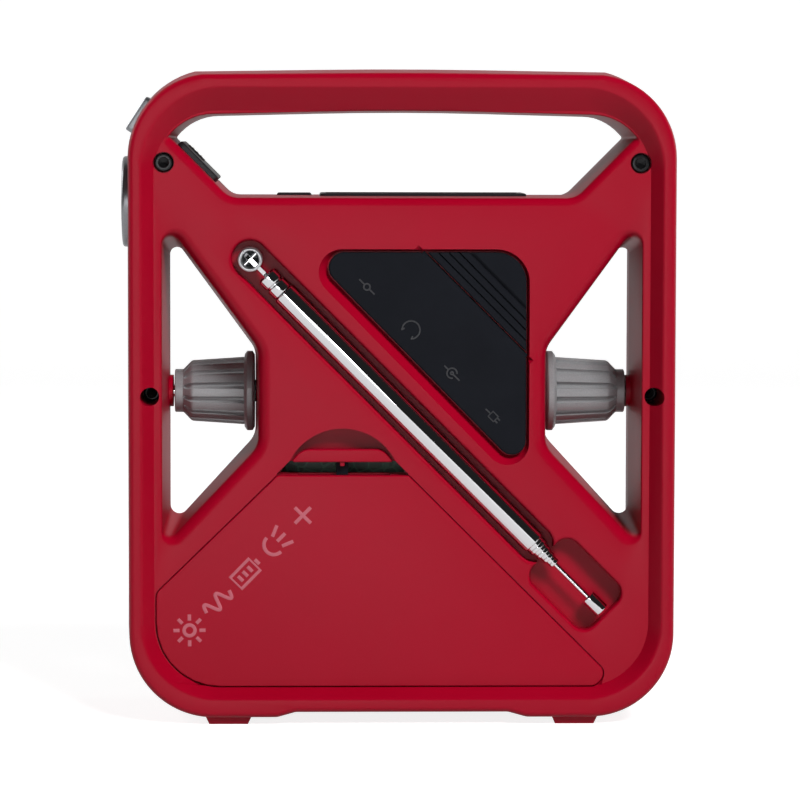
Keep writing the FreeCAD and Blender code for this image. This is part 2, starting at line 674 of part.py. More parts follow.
# ---- knobs --------------------------------------------------------------------------------------
def make_knob(side):
    """Fluted knob on a stem. The profile starts at the body and runs outwards."""
    centre = V(0, 0, knob_z)
    body = turned([(31.0, 0), (31.0, 3.0), (39.7, 3.0), (39.7, 9.9), (40.3, 10.9), (41.7, 10.9),
                   (42.5, 9.9), (42.5, 9.2), (57.3, 8.2), (58.2, 7.8), (58.8, 7.0), (59.0, 5.9), (61.5, 5.9),
                   (61.5, 0)], centre, V(side, 0, 0))
    groove_count = 14
    groove_radius = 0.85
    for index in range(groove_count):
        angle = 2 * math.pi * (index + 0.5) / groove_count
        outward = V(0, math.cos(angle), math.sin(angle))
        start = centre + V(side * 42.8, 0, 0) + outward * 9.6
        end = centre + V(side * 58.7, 0, 0) + outward * 8.1
        direction = end - start
        groove = rod(groove_radius, start, direction, direction.Length)
        body = body.cut(groove.fuse(Part.makeSphere(groove_radius, end)))
    body = body.cut(rod(1.75 + running, V(side * 60.0, 0, knob_z), V(side, 0, 0), 3))
    return body.cut(rod(1.5, V(side * 30, 0, knob_z), V(side, 0, 0), 6.0))


def make_spindle(side):
    return rod(1.5, V(side * 22, 0, knob_z), V(side, 0, 0), 14.0)


def make_control(side):
    """Rotary control: square body with a short threaded nose round its spindle."""
    low, high = sorted((side * 18.0, side * 28.0))
    body = box(low, high, -5.4, 5.4, knob_z - 5.4, knob_z + 5.4)
    nose = rod(2.9, V(side * 28, 0, knob_z), V(side, 0, 0), 2.6)
    return body.fuse(nose).cut(rod(1.5 + running, V(side * 21.5, 0, knob_z), V(side, 0, 0), 12))


def make_knob_pins():
    pins = []
    for side in (-1, 1):
        pins.append(rod(1.75, V(side * 60.3, 0, knob_z), V(side, 0, 0), 5.2))
    return together(pins)


# ---- lamp, top fittings and side switches ----------------------------------------------------------
def make_lamp_bezel():
    return turned([(70.2, 10.6), (70.2, bezel_radius), (74.9, bezel_radius), (75.6, bezel_radius - 0.8),
                   (75.6, 10.9), (74.6, 10.0), (73.6, 10.0), (73.6, 10.6)], V(0, 0, bezel_z), V(-1, 0, 0))


def make_lamp_lens():
    return turned([(71.6, 0), (71.6, 10.5), (73.5, 10.5), (73.5, 9.9), (74.2, 8.0), (74.6, 4.0), (74.7, 0)],
                  V(0, 0, bezel_z), V(-1, 0, 0))


def make_lamp_reflector():
    return turned([(66.5, 0), (66.5, 9.5), (70.3, 9.5), (70.3, 10.4), (71.4, 10.4), (71.4, 9.2), (69.4, 6.0),
                   (68.0, 2.2), (68.0, 0)], V(0, 0, bezel_z), V(-1, 0, 0))


def make_lamp_led():
    return turned([(68.05, 0), (68.05, 1.6), (69.3, 1.6), (70.1, 1.0), (70.4, 0)],
                  V(0, 0, bezel_z), V(-1, 0, 0))


def make_corner_button():
    return slanted_box(corner_face, corner_along, corner_out, corner_length, 0.4, 5.2,
                       -corner_half_width, corner_half_width)


def make_light_button():
    x0, x1, y0, y1 = light_button
    return box(x0, x1, y0, y1, 136.0, solar_top_z)


def make_solar_frame():
    x0, x1, y0, y1 = solar
    frame = box(x0, x1, y0, y1, solar_seat_z, solar_top_z)
    return frame.cut(box(x0 + 2, x1 - 2, y0 + 2, y1 - 2, solar_top_z - 1.4, solar_top_z + 1))


def make_solar_cell():
    x0, x1, y0, y1 = solar
    return box(x0 + 2, x1 - 2, y0 + 2, y1 - 2, solar_top_z - 1.4, solar_top_z - 0.3)


def make_arm_plate():
    plate = slanted_box(plate_place, down_right, up_right, 14.0, 0.8, 1.5, plate_depth[0], plate_depth[1])
    return plate.cut(slanted_box(plate_place, down_right, up_right, 10.6, 2, 2, -3.4, 3.4))


def make_arm_slider():
    place = arm_start + down_right * 6.8
    cap = slanted_box(place, down_right, up_right, 6.0, 1.5, -0.9, -5.0, 5.0)
    stem = slanted_box(place, down_right, up_right, 3.6, 1.1, 3.6, -3.0, 3.0)
    return cap.fuse(stem)


# ---- electronics --------------------------------------------------------------------------------------
def make_main_board():
    outline = [(-43, 133, 3), (43, 133, 3), (33, 99, 6), (33, 78, 6), (46, 60, 3), (24, 56, 3),
               (-24, 56, 3), (-46, 60, 3), (-33, 78, 6), (-33, 99, 6)]
    board = prism(outline, main_board_y, main_board_y + board_thickness)
    board = board.cut(rod(generator_radius + 1, V(idler_x, 0, rotor_z), V(0, 1, 0), 10))
    return board.cut(rod(5, V(0, 0, knob_z), V(0, 1, 0), 10))


def make_ferrite_rod():
    return rod(4.0, V(-32, -12, 132.5), V(1, 0, 0), 66)


def make_display_module():
    x0, x1, z0, z1 = display
    return box(x0 + 1, x1 - 1, 9.4, front_panel_y - wall - 0.2, z0 - 1, z1 + 1)


def make_display_window():
    x0, x1, z0, z1 = display
    return box(x0 + 0.2, x1 - 0.2, front_panel_y - 1.2, front_panel_y + 0.2, z0 + 0.2, z1 - 0.2)


def make_front_button(index):
    width, height = front_button_size
    x = front_button_xs[index]
    return box(x - width / 2, x + width / 2, 16.4, front_panel_y + 0.5,
               front_button_z - height / 2, front_button_z + height / 2)


def make_speaker():
    return turned([(6.0, 0), (6.0, 10.5), (10.5, 10.5), (10.5, 12.0), (15.5, 19.0), (17.7, 19.0),
                   (17.7, 16.6), (15.0, 14.5), (12.5, 6.0), (13.5, 0)], V(0, 0, speaker_z), V(0, 1, 0))


def make_speaker_grille():
    """Round plate with rings of sound holes."""
    top = front_panel_y + 0.4
    grille = rod(speaker_radius + 2.4, V(0, front_panel_y - 1.0, speaker_z), V(0, 1, 0), 1.4)
    for ring in range(1, 5):
        ring_radius = ring * 4.0
        hole_count = ring * 6
        for step in range(hole_count):
            angle = 2 * math.pi * step / hole_count
            place = V(ring_radius * math.cos(angle), top - 3, speaker_z + ring_radius * math.sin(angle))
            grille = grille.cut(rod(0.95, place, V(0, 1, 0), 4))
    return grille


# ---- crank and generator -----------------------------------------------------------------------------
def gear(teeth, x, z, y_from, y_to, bore, turn=0.0):
    """Spur gear with straight-sided teeth, thinned for backlash."""
    pitch_radius = gear_module * teeth / 2
    tip_radius = pitch_radius + 0.62 * gear_module
    root_radius = pitch_radius - 0.95 * gear_module
    points = []
    for tooth in range(teeth):
        for share, radius in ((-0.30, root_radius), (-0.10, tip_radius), (0.10, tip_radius),
                              (0.30, root_radius)):
            angle = 2 * math.pi * (tooth + share) / teeth + turn
            points.append(V(x + radius * math.cos(angle), y_from, z + radius * math.sin(angle)))
    solid = Part.Face(Part.makePolygon(points + [points[0]])).extrude(V(0, y_to - y_from, 0))
    if bore > 0:
        solid = solid.cut(rod(bore, V(x, y_from - 1, z), V(0, 1, 0), y_to - y_from + 2))
    return solid


def make_crank_arm():
    """Hub with a shaft and a two-pronged arm that holds the stowed grip between its prongs."""
    hub = turned([(20.5, 0), (20.5, hub_radius), (26.2, hub_radius), (27.3, hub_radius - 1.4),
                  (27.3, 0)], V(0, 0, knob_z), V(0, 1, 0))
    shaft = rod(crank_shaft_radius, V(0, 8.6, knob_z), V(0, 1, 0), 13)
    arm = hub.fuse(shaft)
    for side in (-1, 1):
        low, high = sorted((side * fork_inner, side * fork_outer))
        arm = arm.fuse(box(4, grip_pivot_x + 3.6, 21.6, 27.0, knob_z + low, knob_z + high))
    arm = arm.fuse(box(4, 12, 21.6, 27.0, knob_z - fork_outer, knob_z + fork_outer))
    return arm.cut(rod(1.1, V(grip_pivot_x, grip_axis_y, knob_z - 10), V(0, 0, 1), 20))


def make_grip_pivot_pin():
    return rod(1.1, V(grip_pivot_x, grip_axis_y, knob_z - fork_outer), V(0, 0, 1), 2 * fork_outer)


def make_grip_post():
    """Eye on the pivot pin with the axle that the grip turns on."""
    eye = rod(2.6, V(grip_pivot_x, grip_axis_y, knob_z - 4.2), V(0, 0, 1), 8.4)
    axle = rod(1.4, V(15.2, grip_axis_y, knob_z), V(1, 0, 0), grip_pivot_x - 15.2)
    return eye.fuse(axle).cut(rod(1.1 + running, V(grip_pivot_x, grip_axis_y, knob_z - 6), V(0, 0, 1), 12))


def make_crank_grip():
    grip = turned([(13.6, 0), (13.6, 3.1), (14.4, grip_radius), (30.2, grip_radius), (31.6, 3.0), (31.6, 0)],
                  V(0, grip_axis_y, knob_z), V(1, 0, 0))
    return grip.cut(rod(1.4 + running, V(15.0, grip_axis_y, knob_z), V(1, 0, 0), 18))


def make_crank_bearing():
    ring = rod(bearing_radius, V(0, 16.2, knob_z), V(0, 1, 0), 4.0)
    return ring.cut(rod(crank_shaft_radius + running, V(0, 15, knob_z), V(0, 1, 0), 7))


def make_crank_gear():
    return gear(crank_teeth, 0, knob_z, crank_gear_y[0], crank_gear_y[1], crank_shaft_radius)


def make_idler_gear():
    """Compound wheel: a small pinion driven by the crank's gear, and a large gear."""
    half_tooth = math.pi / idler_pinion_teeth
    small = gear(idler_pinion_teeth, idler_x, knob_z, idler_gear_y[1], crank_gear_y[1], 0, half_tooth)
    large = gear(idler_teeth, idler_x, knob_z, idler_gear_y[0], idler_gear_y[1], 0)
    return small.fuse(large).cut(rod(1.5 + running, V(idler_x, 5, knob_z), V(0, 1, 0), 14))


def make_idler_pin():
    return rod(1.5, V(idler_x, 8.4, knob_z), V(0, 1, 0), front_panel_y - wall - 8.4)


def make_rotor():
    """Generator shaft with its pinion, turned so that its teeth sit between the idler's."""
    line = math.pi / 2
    idler_phase = (line * idler_teeth / (2 * math.pi)) % 1.0
    turn = -line + math.pi * 2 * (0.5 + idler_phase) / rotor_teeth
    pinion = gear(rotor_teeth, idler_x, rotor_z, idler_gear_y[0] - 0.2, idler_gear_y[1] + 0.4, 0, turn)
    return pinion.fuse(rod(1.0, V(idler_x, 2.0, rotor_z), V(0, 1, 0), 9))


def make_generator():
    body = rod(generator_radius, V(idler_x, -2.0, rotor_z), V(0, 1, 0), 11.2)
    return body.cut(rod(1.0 + running, V(idler_x, 1.5, rotor_z), V(0, 1, 0), 10))


# ---- everything ------------------------------------------------------------------------------------------
def main():
    save("rear_housing", make_rear_housing())
    save("front_housing", make_front_housing())
    save("housing_screws", make_screws())
    save("feet", make_feet())
    save("battery_door", make_battery_door())
    save("door_latch", make_door_latch())
    save("aaa_cells", make_cells())
    save("battery_contacts", make_contacts())
    save("rechargeable_pack", make_rechargeable_pack())
    save("port_cover_flap", make_port_cover_flap())
    save("port_cover_anchor", make_port_cover_anchor())
    save("port_sockets", make_port_sockets())
    save("port_board", make_port_board())
    save("antenna_base", make_antenna_base())
    save("antenna_pin", make_antenna_pin())
    save("antenna_knuckle", make_antenna_knuckle())
    save("antenna_tube", make_antenna_tube())
    for index in range(1, section_count + 1):
        save("antenna_section_" + str(index), make_antenna_section(index))
    save("antenna_tip", make_antenna_tip())
    for name, side in (("tuning", -1), ("volume", 1)):
        save(name + "_knob", make_knob(side))
        save(name + "_spindle", make_spindle(side))
        save(name + "_control", make_control(side))
    save("knob_pins", make_knob_pins())
    save("lamp_bezel", make_lamp_bezel())
    save("lamp_lens", make_lamp_lens())
    save("lamp_reflector", make_lamp_reflector())
    save("lamp_led", make_lamp_led())
    save("corner_button", make_corner_button())
    save("light_button", make_light_button())
    save("solar_frame", make_solar_frame())
    save("solar_cell", make_solar_cell())
    save("arm_plate", make_arm_plate())
    save("arm_slider", make_arm_slider())
    save("main_board", make_main_board())
    save("ferrite_rod", make_ferrite_rod())
    save("display_module", make_display_module())
    save("display_window", make_display_window())
    for index in range(len(front_button_xs)):
        save("front_button_" + str(index + 1), make_front_button(index))
    save("speaker", make_speaker())
    save("speaker_grille", make_speaker_grille())
    save("crank_arm", make_crank_arm())
    save("grip_pivot_pin", make_grip_pivot_pin())
    save("grip_post", make_grip_post())
    save("crank_grip", make_crank_grip())
    save("crank_bearing", make_crank_bearing())
    save("crank_gear", make_crank_gear())
    save("idler_gear", make_idler_gear())
    save("idler_pin", make_idler_pin())
    save("generator_rotor", make_rotor())
    save("generator_body", make_generator())


main()
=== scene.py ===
# %% [markdown]
# # An emergency radio, seen from its back
# The radio is two red half shells that make a carrying frame round an X-shaped body. The packed
# model already holds the shells, every inside part and every joint, at their real size. This
# notebook dresses it: it builds finer skins for the pieces that catch the eye, gives each piece a
# material made of nodes, and sets up the floor, the light and the camera.

# %% Load the fixed frame
import json
import math

import bmesh
import bpy
import numpy as np
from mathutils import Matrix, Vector


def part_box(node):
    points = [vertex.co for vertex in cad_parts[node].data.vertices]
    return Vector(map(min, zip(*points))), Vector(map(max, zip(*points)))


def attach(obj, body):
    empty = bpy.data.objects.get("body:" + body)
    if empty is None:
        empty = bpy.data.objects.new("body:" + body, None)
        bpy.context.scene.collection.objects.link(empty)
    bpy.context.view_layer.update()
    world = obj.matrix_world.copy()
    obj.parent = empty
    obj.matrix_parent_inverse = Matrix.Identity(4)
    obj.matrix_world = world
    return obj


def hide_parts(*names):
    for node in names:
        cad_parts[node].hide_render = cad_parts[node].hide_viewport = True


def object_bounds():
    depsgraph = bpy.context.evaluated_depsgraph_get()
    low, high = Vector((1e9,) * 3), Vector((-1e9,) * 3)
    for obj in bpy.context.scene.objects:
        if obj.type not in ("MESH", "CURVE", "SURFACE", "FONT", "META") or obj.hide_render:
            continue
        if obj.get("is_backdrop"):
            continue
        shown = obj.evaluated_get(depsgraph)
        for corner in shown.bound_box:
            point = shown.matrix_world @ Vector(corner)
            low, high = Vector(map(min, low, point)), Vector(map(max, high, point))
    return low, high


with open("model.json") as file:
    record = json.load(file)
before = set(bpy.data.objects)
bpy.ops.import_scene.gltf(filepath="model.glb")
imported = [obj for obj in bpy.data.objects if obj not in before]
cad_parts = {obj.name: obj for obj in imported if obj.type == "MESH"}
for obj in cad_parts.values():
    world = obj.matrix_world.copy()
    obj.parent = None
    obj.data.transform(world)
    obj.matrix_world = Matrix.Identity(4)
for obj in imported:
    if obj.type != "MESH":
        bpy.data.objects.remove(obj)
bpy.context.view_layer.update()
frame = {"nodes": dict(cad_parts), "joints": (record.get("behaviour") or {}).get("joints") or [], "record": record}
MM = 0.001
nodes = frame["nodes"]
joints = {joint["name"]: joint for joint in frame["joints"]}
slot_of_node = {part["node"]: part["material_slot"] for part in frame["record"]["subparts"]}

# %% [markdown]
# ## Shader sums written as Python
# A material is a graph of nodes. Wiring each sum by hand hides the idea, so a small class wraps a
# socket: adding or multiplying two terms makes the Math node. Any other node comes from one
# method, which sets the node's choices first and its sockets after.

# %% Terms and shaders
class Term:
    """A number that varies over a surface. An expression on terms adds its Math nodes."""

    def __init__(self, shader, socket):
        self.shader = shader
        self.socket = socket

    def math(self, operation, first, second=0.0):
        return self.shader.node("ShaderNodeMath", {"operation": operation}, {0: first, 1: second})

    def __add__(self, other):
        return self.math("ADD", self, other)

    def __sub__(self, other):
        return self.math("SUBTRACT", self, other)

    def __rsub__(self, other):
        return self.math("SUBTRACT", other, self)

    def __mul__(self, other):
        return self.math("MULTIPLY", self, other)

    __radd__ = __add__
    __rmul__ = __mul__

    def above(self, edge, softness):
        """0 below the edge, 1 above it, with a smooth step between."""
        return self.shader.node("ShaderNodeMapRange", {"interpolation_type": "SMOOTHSTEP"},
                                {"Value": self, "From Min": edge - softness, "From Max": edge + softness})


class Shader:
    """One material: a Principled shader and the nodes that feed it."""

    def __init__(self, name, **constants):
        self.material = bpy.data.materials.new(name)
        self.material.use_nodes = True
        self.tree = self.material.node_tree
        self.surface = self.tree.nodes["Principled BSDF"]
        for socket, value in constants.items():
            self.surface.inputs[socket.replace("_", " ")].default_value = value

    def put(self, target, value):
        if isinstance(value, Term):
            self.tree.links.new(value.socket, target)
        else:
            target.default_value = value

    def node(self, kind, settings, inputs, output=0):
        made = self.tree.nodes.new(kind)
        for name, value in settings.items():
            setattr(made, name, value)
        for name, value in inputs.items():
            self.put(made.inputs[name], value)
        return Term(self, made.outputs[output])

    def feed(self, **sockets):
        for socket, value in sockets.items():
            self.put(self.surface.inputs[socket.replace("_", " ")], value)

    def place(self):
        return self.node("ShaderNodeTexCoord", {}, {}, "Object")

    def noise(self, per_metre, detail=2.0, rough=0.5):
        inputs = {"Vector": self.place(), "Scale": per_metre, "Detail": detail, "Roughness": rough}
        return self.node("ShaderNodeTexNoise", {}, inputs, "Fac")

    def cells(self, per_metre, feature="F1", output="Distance"):
        return self.node("ShaderNodeTexVoronoi", {"feature": feature},
                         {"Vector": self.place(), "Scale": per_metre}, output)

    def blend(self, share, first, second):
        """Colour mixed from two by a share."""
        mix = self.tree.nodes.new("ShaderNodeMix")
        mix.data_type = "RGBA"
        for socket, value in zip((mix.inputs[0], mix.inputs[6], mix.inputs[7]), (share, first, second)):
            self.put(socket, value)
        return Term(self, mix.outputs[2])

    def relief(self, height, strength, distance_mm):
        return self.node("ShaderNodeBump", {}, {"Height": height, "Strength": strength,
                                                "Distance": distance_mm * MM}, "Normal")


def tone(red, green, blue):
    """Linear colour of an on-screen colour given from 0 to 255."""
    curve = [((v / 255 + 0.055) / 1.055) ** 2.4 if v > 10 else v / 255 / 12.92 for v in (red, green, blue)]
    return (*curve, 1.0)


# %% [markdown]
# ## The red plastic
# The shells are ABS, moulded in a tool with a fine spark-eroded texture. Up close the skin is a
# field of tiny pits, so it looks satin, and its colour hardly varies. The pits are a small bump,
# a second and broader noise varies the gloss as handling does, and the door gets a coarser grain,
# because it comes from another tool. The door's bright specks are painted glints: lighter dots in
# its colour that stand in for the sparkle of its grain.

# %% Red plastics
def red_plastic(name, grain_per_metre, depth_mm, painted_glints):
    shader = Shader(name, Specular_IOR_Level=0.22)
    pits = shader.noise(grain_per_metre, 3.0, 0.6)
    handling = shader.noise(38.0, 3.0, 0.55)
    deep = tone(152, 1, 30)
    light = tone(160, 4, 36)
    colour = shader.blend(handling, deep, light)
    if painted_glints:
        # Painted glints: bright specks mixed into the door's colour stand in for the sparkle of its grain.
        painted_glint_specks = shader.cells(1700.0).math("SUBTRACT", 1.0, shader.cells(1700.0))
        colour = shader.blend(painted_glint_specks.above(0.90, 0.05) * 0.16, colour, tone(214, 84, 96))
    shader.feed(Base_Color=colour, Roughness=0.34 + handling * 0.08,
                Normal=shader.relief(pits, 0.35, depth_mm))
    return shader.material


shell_red = red_plastic("shell_red", 3600.0, 0.03, False)
door_red = red_plastic("door_red", 2600.0, 0.045, True)


# %% [markdown]
# ## Metals, rubber and the other finishes
# Chrome is a metal with almost no roughness, and faint lengthwise wipe marks keep it from looking
# like a mirror ball. The knobs are plastic with a metallic lacquer: mostly metal in the shader,
# but rough, with a tiny flake. Rubber is very dark and dull, with dust in its grain.

# %% Metal, rubber and lacquer
def plated(name, colour, roughness, wipe):
    shader = Shader(name, Metallic=1.0, Base_Color=colour)
    marks = shader.noise(420.0, 4.0, 0.6)
    shader.feed(Roughness=roughness + marks * wipe, Normal=shader.relief(shader.noise(900.0), 0.05, 0.01))
    return shader.material


def lacquer(name, colour, metal, roughness):
    shader = Shader(name, Metallic=metal, Coat_Weight=0.15, Coat_Roughness=0.25)
    flake = shader.cells(5200.0, output="Color")
    flake_tone = shader.node("ShaderNodeRGBToBW", {}, {"Color": flake})
    dark = tuple(v * 0.82 for v in colour[:3]) + (1.0,)
    shader.feed(Base_Color=shader.blend(flake_tone, dark, colour), Roughness=roughness + flake_tone * 0.08,
                Normal=shader.relief(shader.noise(4200.0), 0.12, 0.01))
    return shader.material


def matt(name, colour, roughness, grain_per_metre, depth_mm, dust=0.0, **constants):
    shader = Shader(name, **constants)
    grain = shader.noise(grain_per_metre, 3.0, 0.6)
    patches = shader.noise(60.0, 3.0, 0.6)
    lighter = tuple(min(1.0, v * (1.25 + dust) + 0.004 * dust) for v in colour[:3]) + (1.0,)
    shader.feed(Base_Color=shader.blend(patches * (0.6 + 0.4 * grain), colour, lighter),
                Roughness=roughness + patches * 0.08, Normal=shader.relief(grain, 0.3, depth_mm))
    return shader.material


chrome = plated("chrome", (0.80, 0.80, 0.82, 1.0), 0.02, 0.03)
machined = plated("machined_steel", (0.52, 0.52, 0.53, 1.0), 0.22, 0.15)
nickel = plated("nickel", (0.66, 0.63, 0.56, 1.0), 0.18, 0.12)
turned_brass = plated("turned_brass", (0.68, 0.47, 0.20, 1.0), 0.2, 0.12)
mirror_coat = plated("mirror_coat", (0.88, 0.88, 0.88, 1.0), 0.05, 0.04)
knob_grey = lacquer("knob_grey", (0.33, 0.335, 0.345, 1.0), 0.25, 0.38)
cup_steel = lacquer("cup_steel", (0.62, 0.62, 0.64, 1.0), 0.9, 0.28)
trim_silver = lacquer("trim_silver", (0.34, 0.35, 0.37, 1.0), 0.85, 0.30)
rubber = matt("port_rubber", (0.007, 0.0078, 0.0105, 1.0), 0.60, 2600.0, 0.03, 0.4, Specular_IOR_Level=0.08)
black_oxide = matt("black_oxide", (0.012, 0.012, 0.013, 1.0), 0.22, 1500.0, 0.01, Metallic=0.6)
black_plastic = matt("black_plastic", (0.013, 0.013, 0.015, 1.0), 0.36, 2800.0, 0.02)
mark_black = matt("mark_black", (0.035, 0.036, 0.040, 1.0), 0.42, 2600.0, 0.01)
mark_ink = matt("mark_ink", tone(178, 92, 104), 0.5, 2600.0, 0.02)
ferrite_grey = matt("ferrite_grey", (0.045, 0.045, 0.05, 1.0), 0.6, 2000.0, 0.05)
gear_white = matt("gear_white", (0.72, 0.71, 0.66, 1.0), 0.4, 1500.0, 0.01)
cell_wrap = matt("cell_wrap", (0.03, 0.20, 0.08, 1.0), 0.25, 500.0, 0.01)
speaker_black = matt("speaker_black", (0.03, 0.03, 0.03, 1.0), 0.6, 1800.0, 0.06)
led_dome = matt("led_dome", (0.75, 0.65, 0.18, 1.0), 0.12, 900.0, 0.005)
display_face = matt("display_face", (0.22, 0.25, 0.20, 1.0), 0.35, 3000.0, 0.005)


# %% [markdown]
# ## Patterned finishes
# A circuit board shows copper tracks under its green mask, and a solar strip is cut in cells with
# thin silver lines. Both are straight lines on Object coordinates, so a wave or a fraction of the
# coordinate draws them.

# %% Boards, solar cell and clear plastic
def circuit_board():
    shader = Shader("circuit_board", Roughness=0.3)
    tracks = shader.cells(260.0, "DISTANCE_TO_EDGE").above(0.06, 0.02)
    shader.feed(Base_Color=shader.blend(tracks, (0.03, 0.16, 0.07, 1.0), (0.012, 0.085, 0.035, 1.0)),
                Normal=shader.relief(tracks, 0.2, 0.03))
    return shader.material


def solar_cells(pitch_mm):
    shader = Shader("solar_cells", Roughness=0.18, Coat_Weight=0.6, Coat_Roughness=0.05)
    axes = shader.node("ShaderNodeSeparateXYZ", {}, {"Vector": shader.place()}, "X")
    across = axes * (1.0 / (pitch_mm * MM))
    line = across.math("FRACT", across).above(0.06, 0.02)
    grain = shader.cells(900.0, output="Color")
    shade = shader.node("ShaderNodeRGBToBW", {}, {"Color": grain})
    cell = shader.blend(shade, (0.004, 0.006, 0.020, 1.0), (0.010, 0.016, 0.048, 1.0))
    shader.feed(Base_Color=shader.blend(line, (0.35, 0.36, 0.38, 1.0), cell))
    return shader.material


def clear_plastic():
    shader = Shader("clear_plastic", Transmission_Weight=1.0, IOR=1.49, Base_Color=(0.96, 0.98, 0.98, 1.0))
    shader.feed(Roughness=0.02 + shader.noise(300.0) * 0.03)
    return shader.material


board_green = circuit_board()
solar_blue = solar_cells(6.5)
clear = clear_plastic()

finish_of_slot = {"red_abs": shell_red, "black_rubber": rubber, "black_steel": black_oxide, "chrome": chrome,
                  "grey_metallic": knob_grey, "silver": trim_silver, "steel": machined,
                  "contact_metal": nickel, "clear_plastic": clear, "reflector": mirror_coat,
                  "led_yellow": led_dome, "black_plastic": black_plastic, "cell_blue": solar_blue,
                  "board_green": board_green, "ferrite": ferrite_grey, "display_grey": display_face,
                  "speaker_frame": speaker_black, "brass": turned_brass, "gear_white": gear_white,
                  "cell_wrap": cell_wrap}

# %% [markdown]
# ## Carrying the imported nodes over
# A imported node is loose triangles. A Weld modifier joins them, smooth faces blend their shading,
# and an Edge Split modifier keeps every edge sharper than the angle crisp. None of it moves a
# vertex of the node's own mesh.

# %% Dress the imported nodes
def dress(node, sharp_degrees=32.0):
    shape = nodes[node]
    shape.data.materials.clear()
    shape.data.materials.append(finish_of_slot[slot_of_node[node]])
    if "custom_normal" in shape.data.attributes:
        shape.data.attributes.remove(shape.data.attributes["custom_normal"])
    shape.data.polygons.foreach_set("use_smooth", np.ones(len(shape.data.polygons), bool))
    weld = shape.modifiers.new("join_triangles", "WELD")
    weld.merge_threshold = 0.004 * MM
    split = shape.modifiers.new("keep_edges", "EDGE_SPLIT")
    split.split_angle = math.radians(sharp_degrees)


for node in nodes:
    dress(node)
print("packed nodes dressed:", len(nodes))

# %% [markdown]
# ## Shapes from two parameters
# Every skin below is a grid of points: one parameter runs along a profile or an outline, the
# other carries it round an axis, or inwards over an edge. An outline is a polygon whose corners
# have radii. Moving its sides inwards by an inset keeps it parallel, and shrinks the radius of
# each outer corner by the same inset, so a rounded edge is only a few insets at a few heights.

# %% Outline, plate, lathe and raised line
def outline(corners, inset=0.0, steps=7):
    """Closed path. A side's inward normal is n, so the corner between two sides moves by
    inset * (n1 + n2) / (1 + n1.n2), and its arc turns from -n1 to -n2 about a centre that is
    the radius away from both sides."""
    corners = np.array(corners, float)
    ahead = np.roll(corners[:, :2], -1, 0) - corners[:, :2]
    ahead /= np.linalg.norm(ahead, axis=1, keepdims=True)
    after = np.roll(corners[:, :2], -1, 0)
    turn = np.sign(np.sum(corners[:, 0] * after[:, 1] - after[:, 0] * corners[:, 1]))
    second = turn * np.stack([-ahead[:, 1], ahead[:, 0]], 1)
    first = np.roll(second, 1, 0)
    bisector = (first + second) / (1 + np.sum(first * second, 1, keepdims=True))
    cross = first[:, 0] * second[:, 1] - first[:, 1] * second[:, 0]
    side = np.where(cross * turn >= 0, 1.0, -1.0)
    radius = np.maximum(corners[:, 2] - inset * side, 0.01)
    centre = corners[:, :2] + bisector * (inset + radius * side)[:, None]
    start = np.arctan2(first[:, 1], first[:, 0])
    sweep = np.arctan2(cross, np.sum(first * second, 1))
    angle = start[:, None] + sweep[:, None] * np.linspace(0, 1, steps + 1)
    arm = (radius * side)[:, None]
    path = centre[:, None, :] - np.stack([arm * np.cos(angle), arm * np.sin(angle)], -1)
    return path.reshape(-1, 2)


def grid_faces(rows, columns, wrap_rows=False, wrap_columns=False):
    """Quads between neighbouring points of a grid, closed on itself where it wraps."""
    index = np.arange(rows * columns).reshape(rows, columns)
    if wrap_columns:
        index = np.hstack([index, index[:, :1]])
    if wrap_rows:
        index = np.vstack([index, index[:1]])
    return np.stack([index[:-1, :-1], index[:-1, 1:], index[1:, 1:], index[1:, :-1]], -1).reshape(-1, 4)


def rounded_edge(back, front, radius, steps=5):
    """Rings (inset, height) over a quarter circle: radius (1 - cos a), front - radius (1 - sin a)."""
    angle = np.linspace(0, math.pi / 2, steps + 1)
    return [(0.0, back), *zip(radius * (1 - np.cos(angle)), front - radius * (1 - np.sin(angle)))]


def rectangle(x0, y0, x1, y1, radius):
    """Corners of a rectangle, all of one radius."""
    return [(x0, y0, radius), (x1, y0, radius), (x1, y1, radius), (x0, y1, radius)]


class Face:
    """A flat face to build on, with its own origin and three directions."""

    def __init__(self, origin, across, up):
        self.origin = np.array(origin, float)
        self.across = np.array(across, float) / np.linalg.norm(across)
        self.up = np.array(up, float) / np.linalg.norm(up)
        self.out = np.cross(self.across, self.up)

    def at(self, across, up, out):
        """origin + a across + b up + c out, for arrays of a, b and c."""
        return (self.origin + np.multiply.outer(across, self.across) + np.multiply.outer(up, self.up)
                + np.multiply.outer(out, self.out))

    def loops(self, corners, rings):
        """One closed loop of points for each ring of (inset, height)."""
        made = []
        for inset, height in rings:
            path = outline(corners, inset)
            made.append(self.at(path[:, 0], path[:, 1], np.full(len(path), height)))
        return np.array(made)


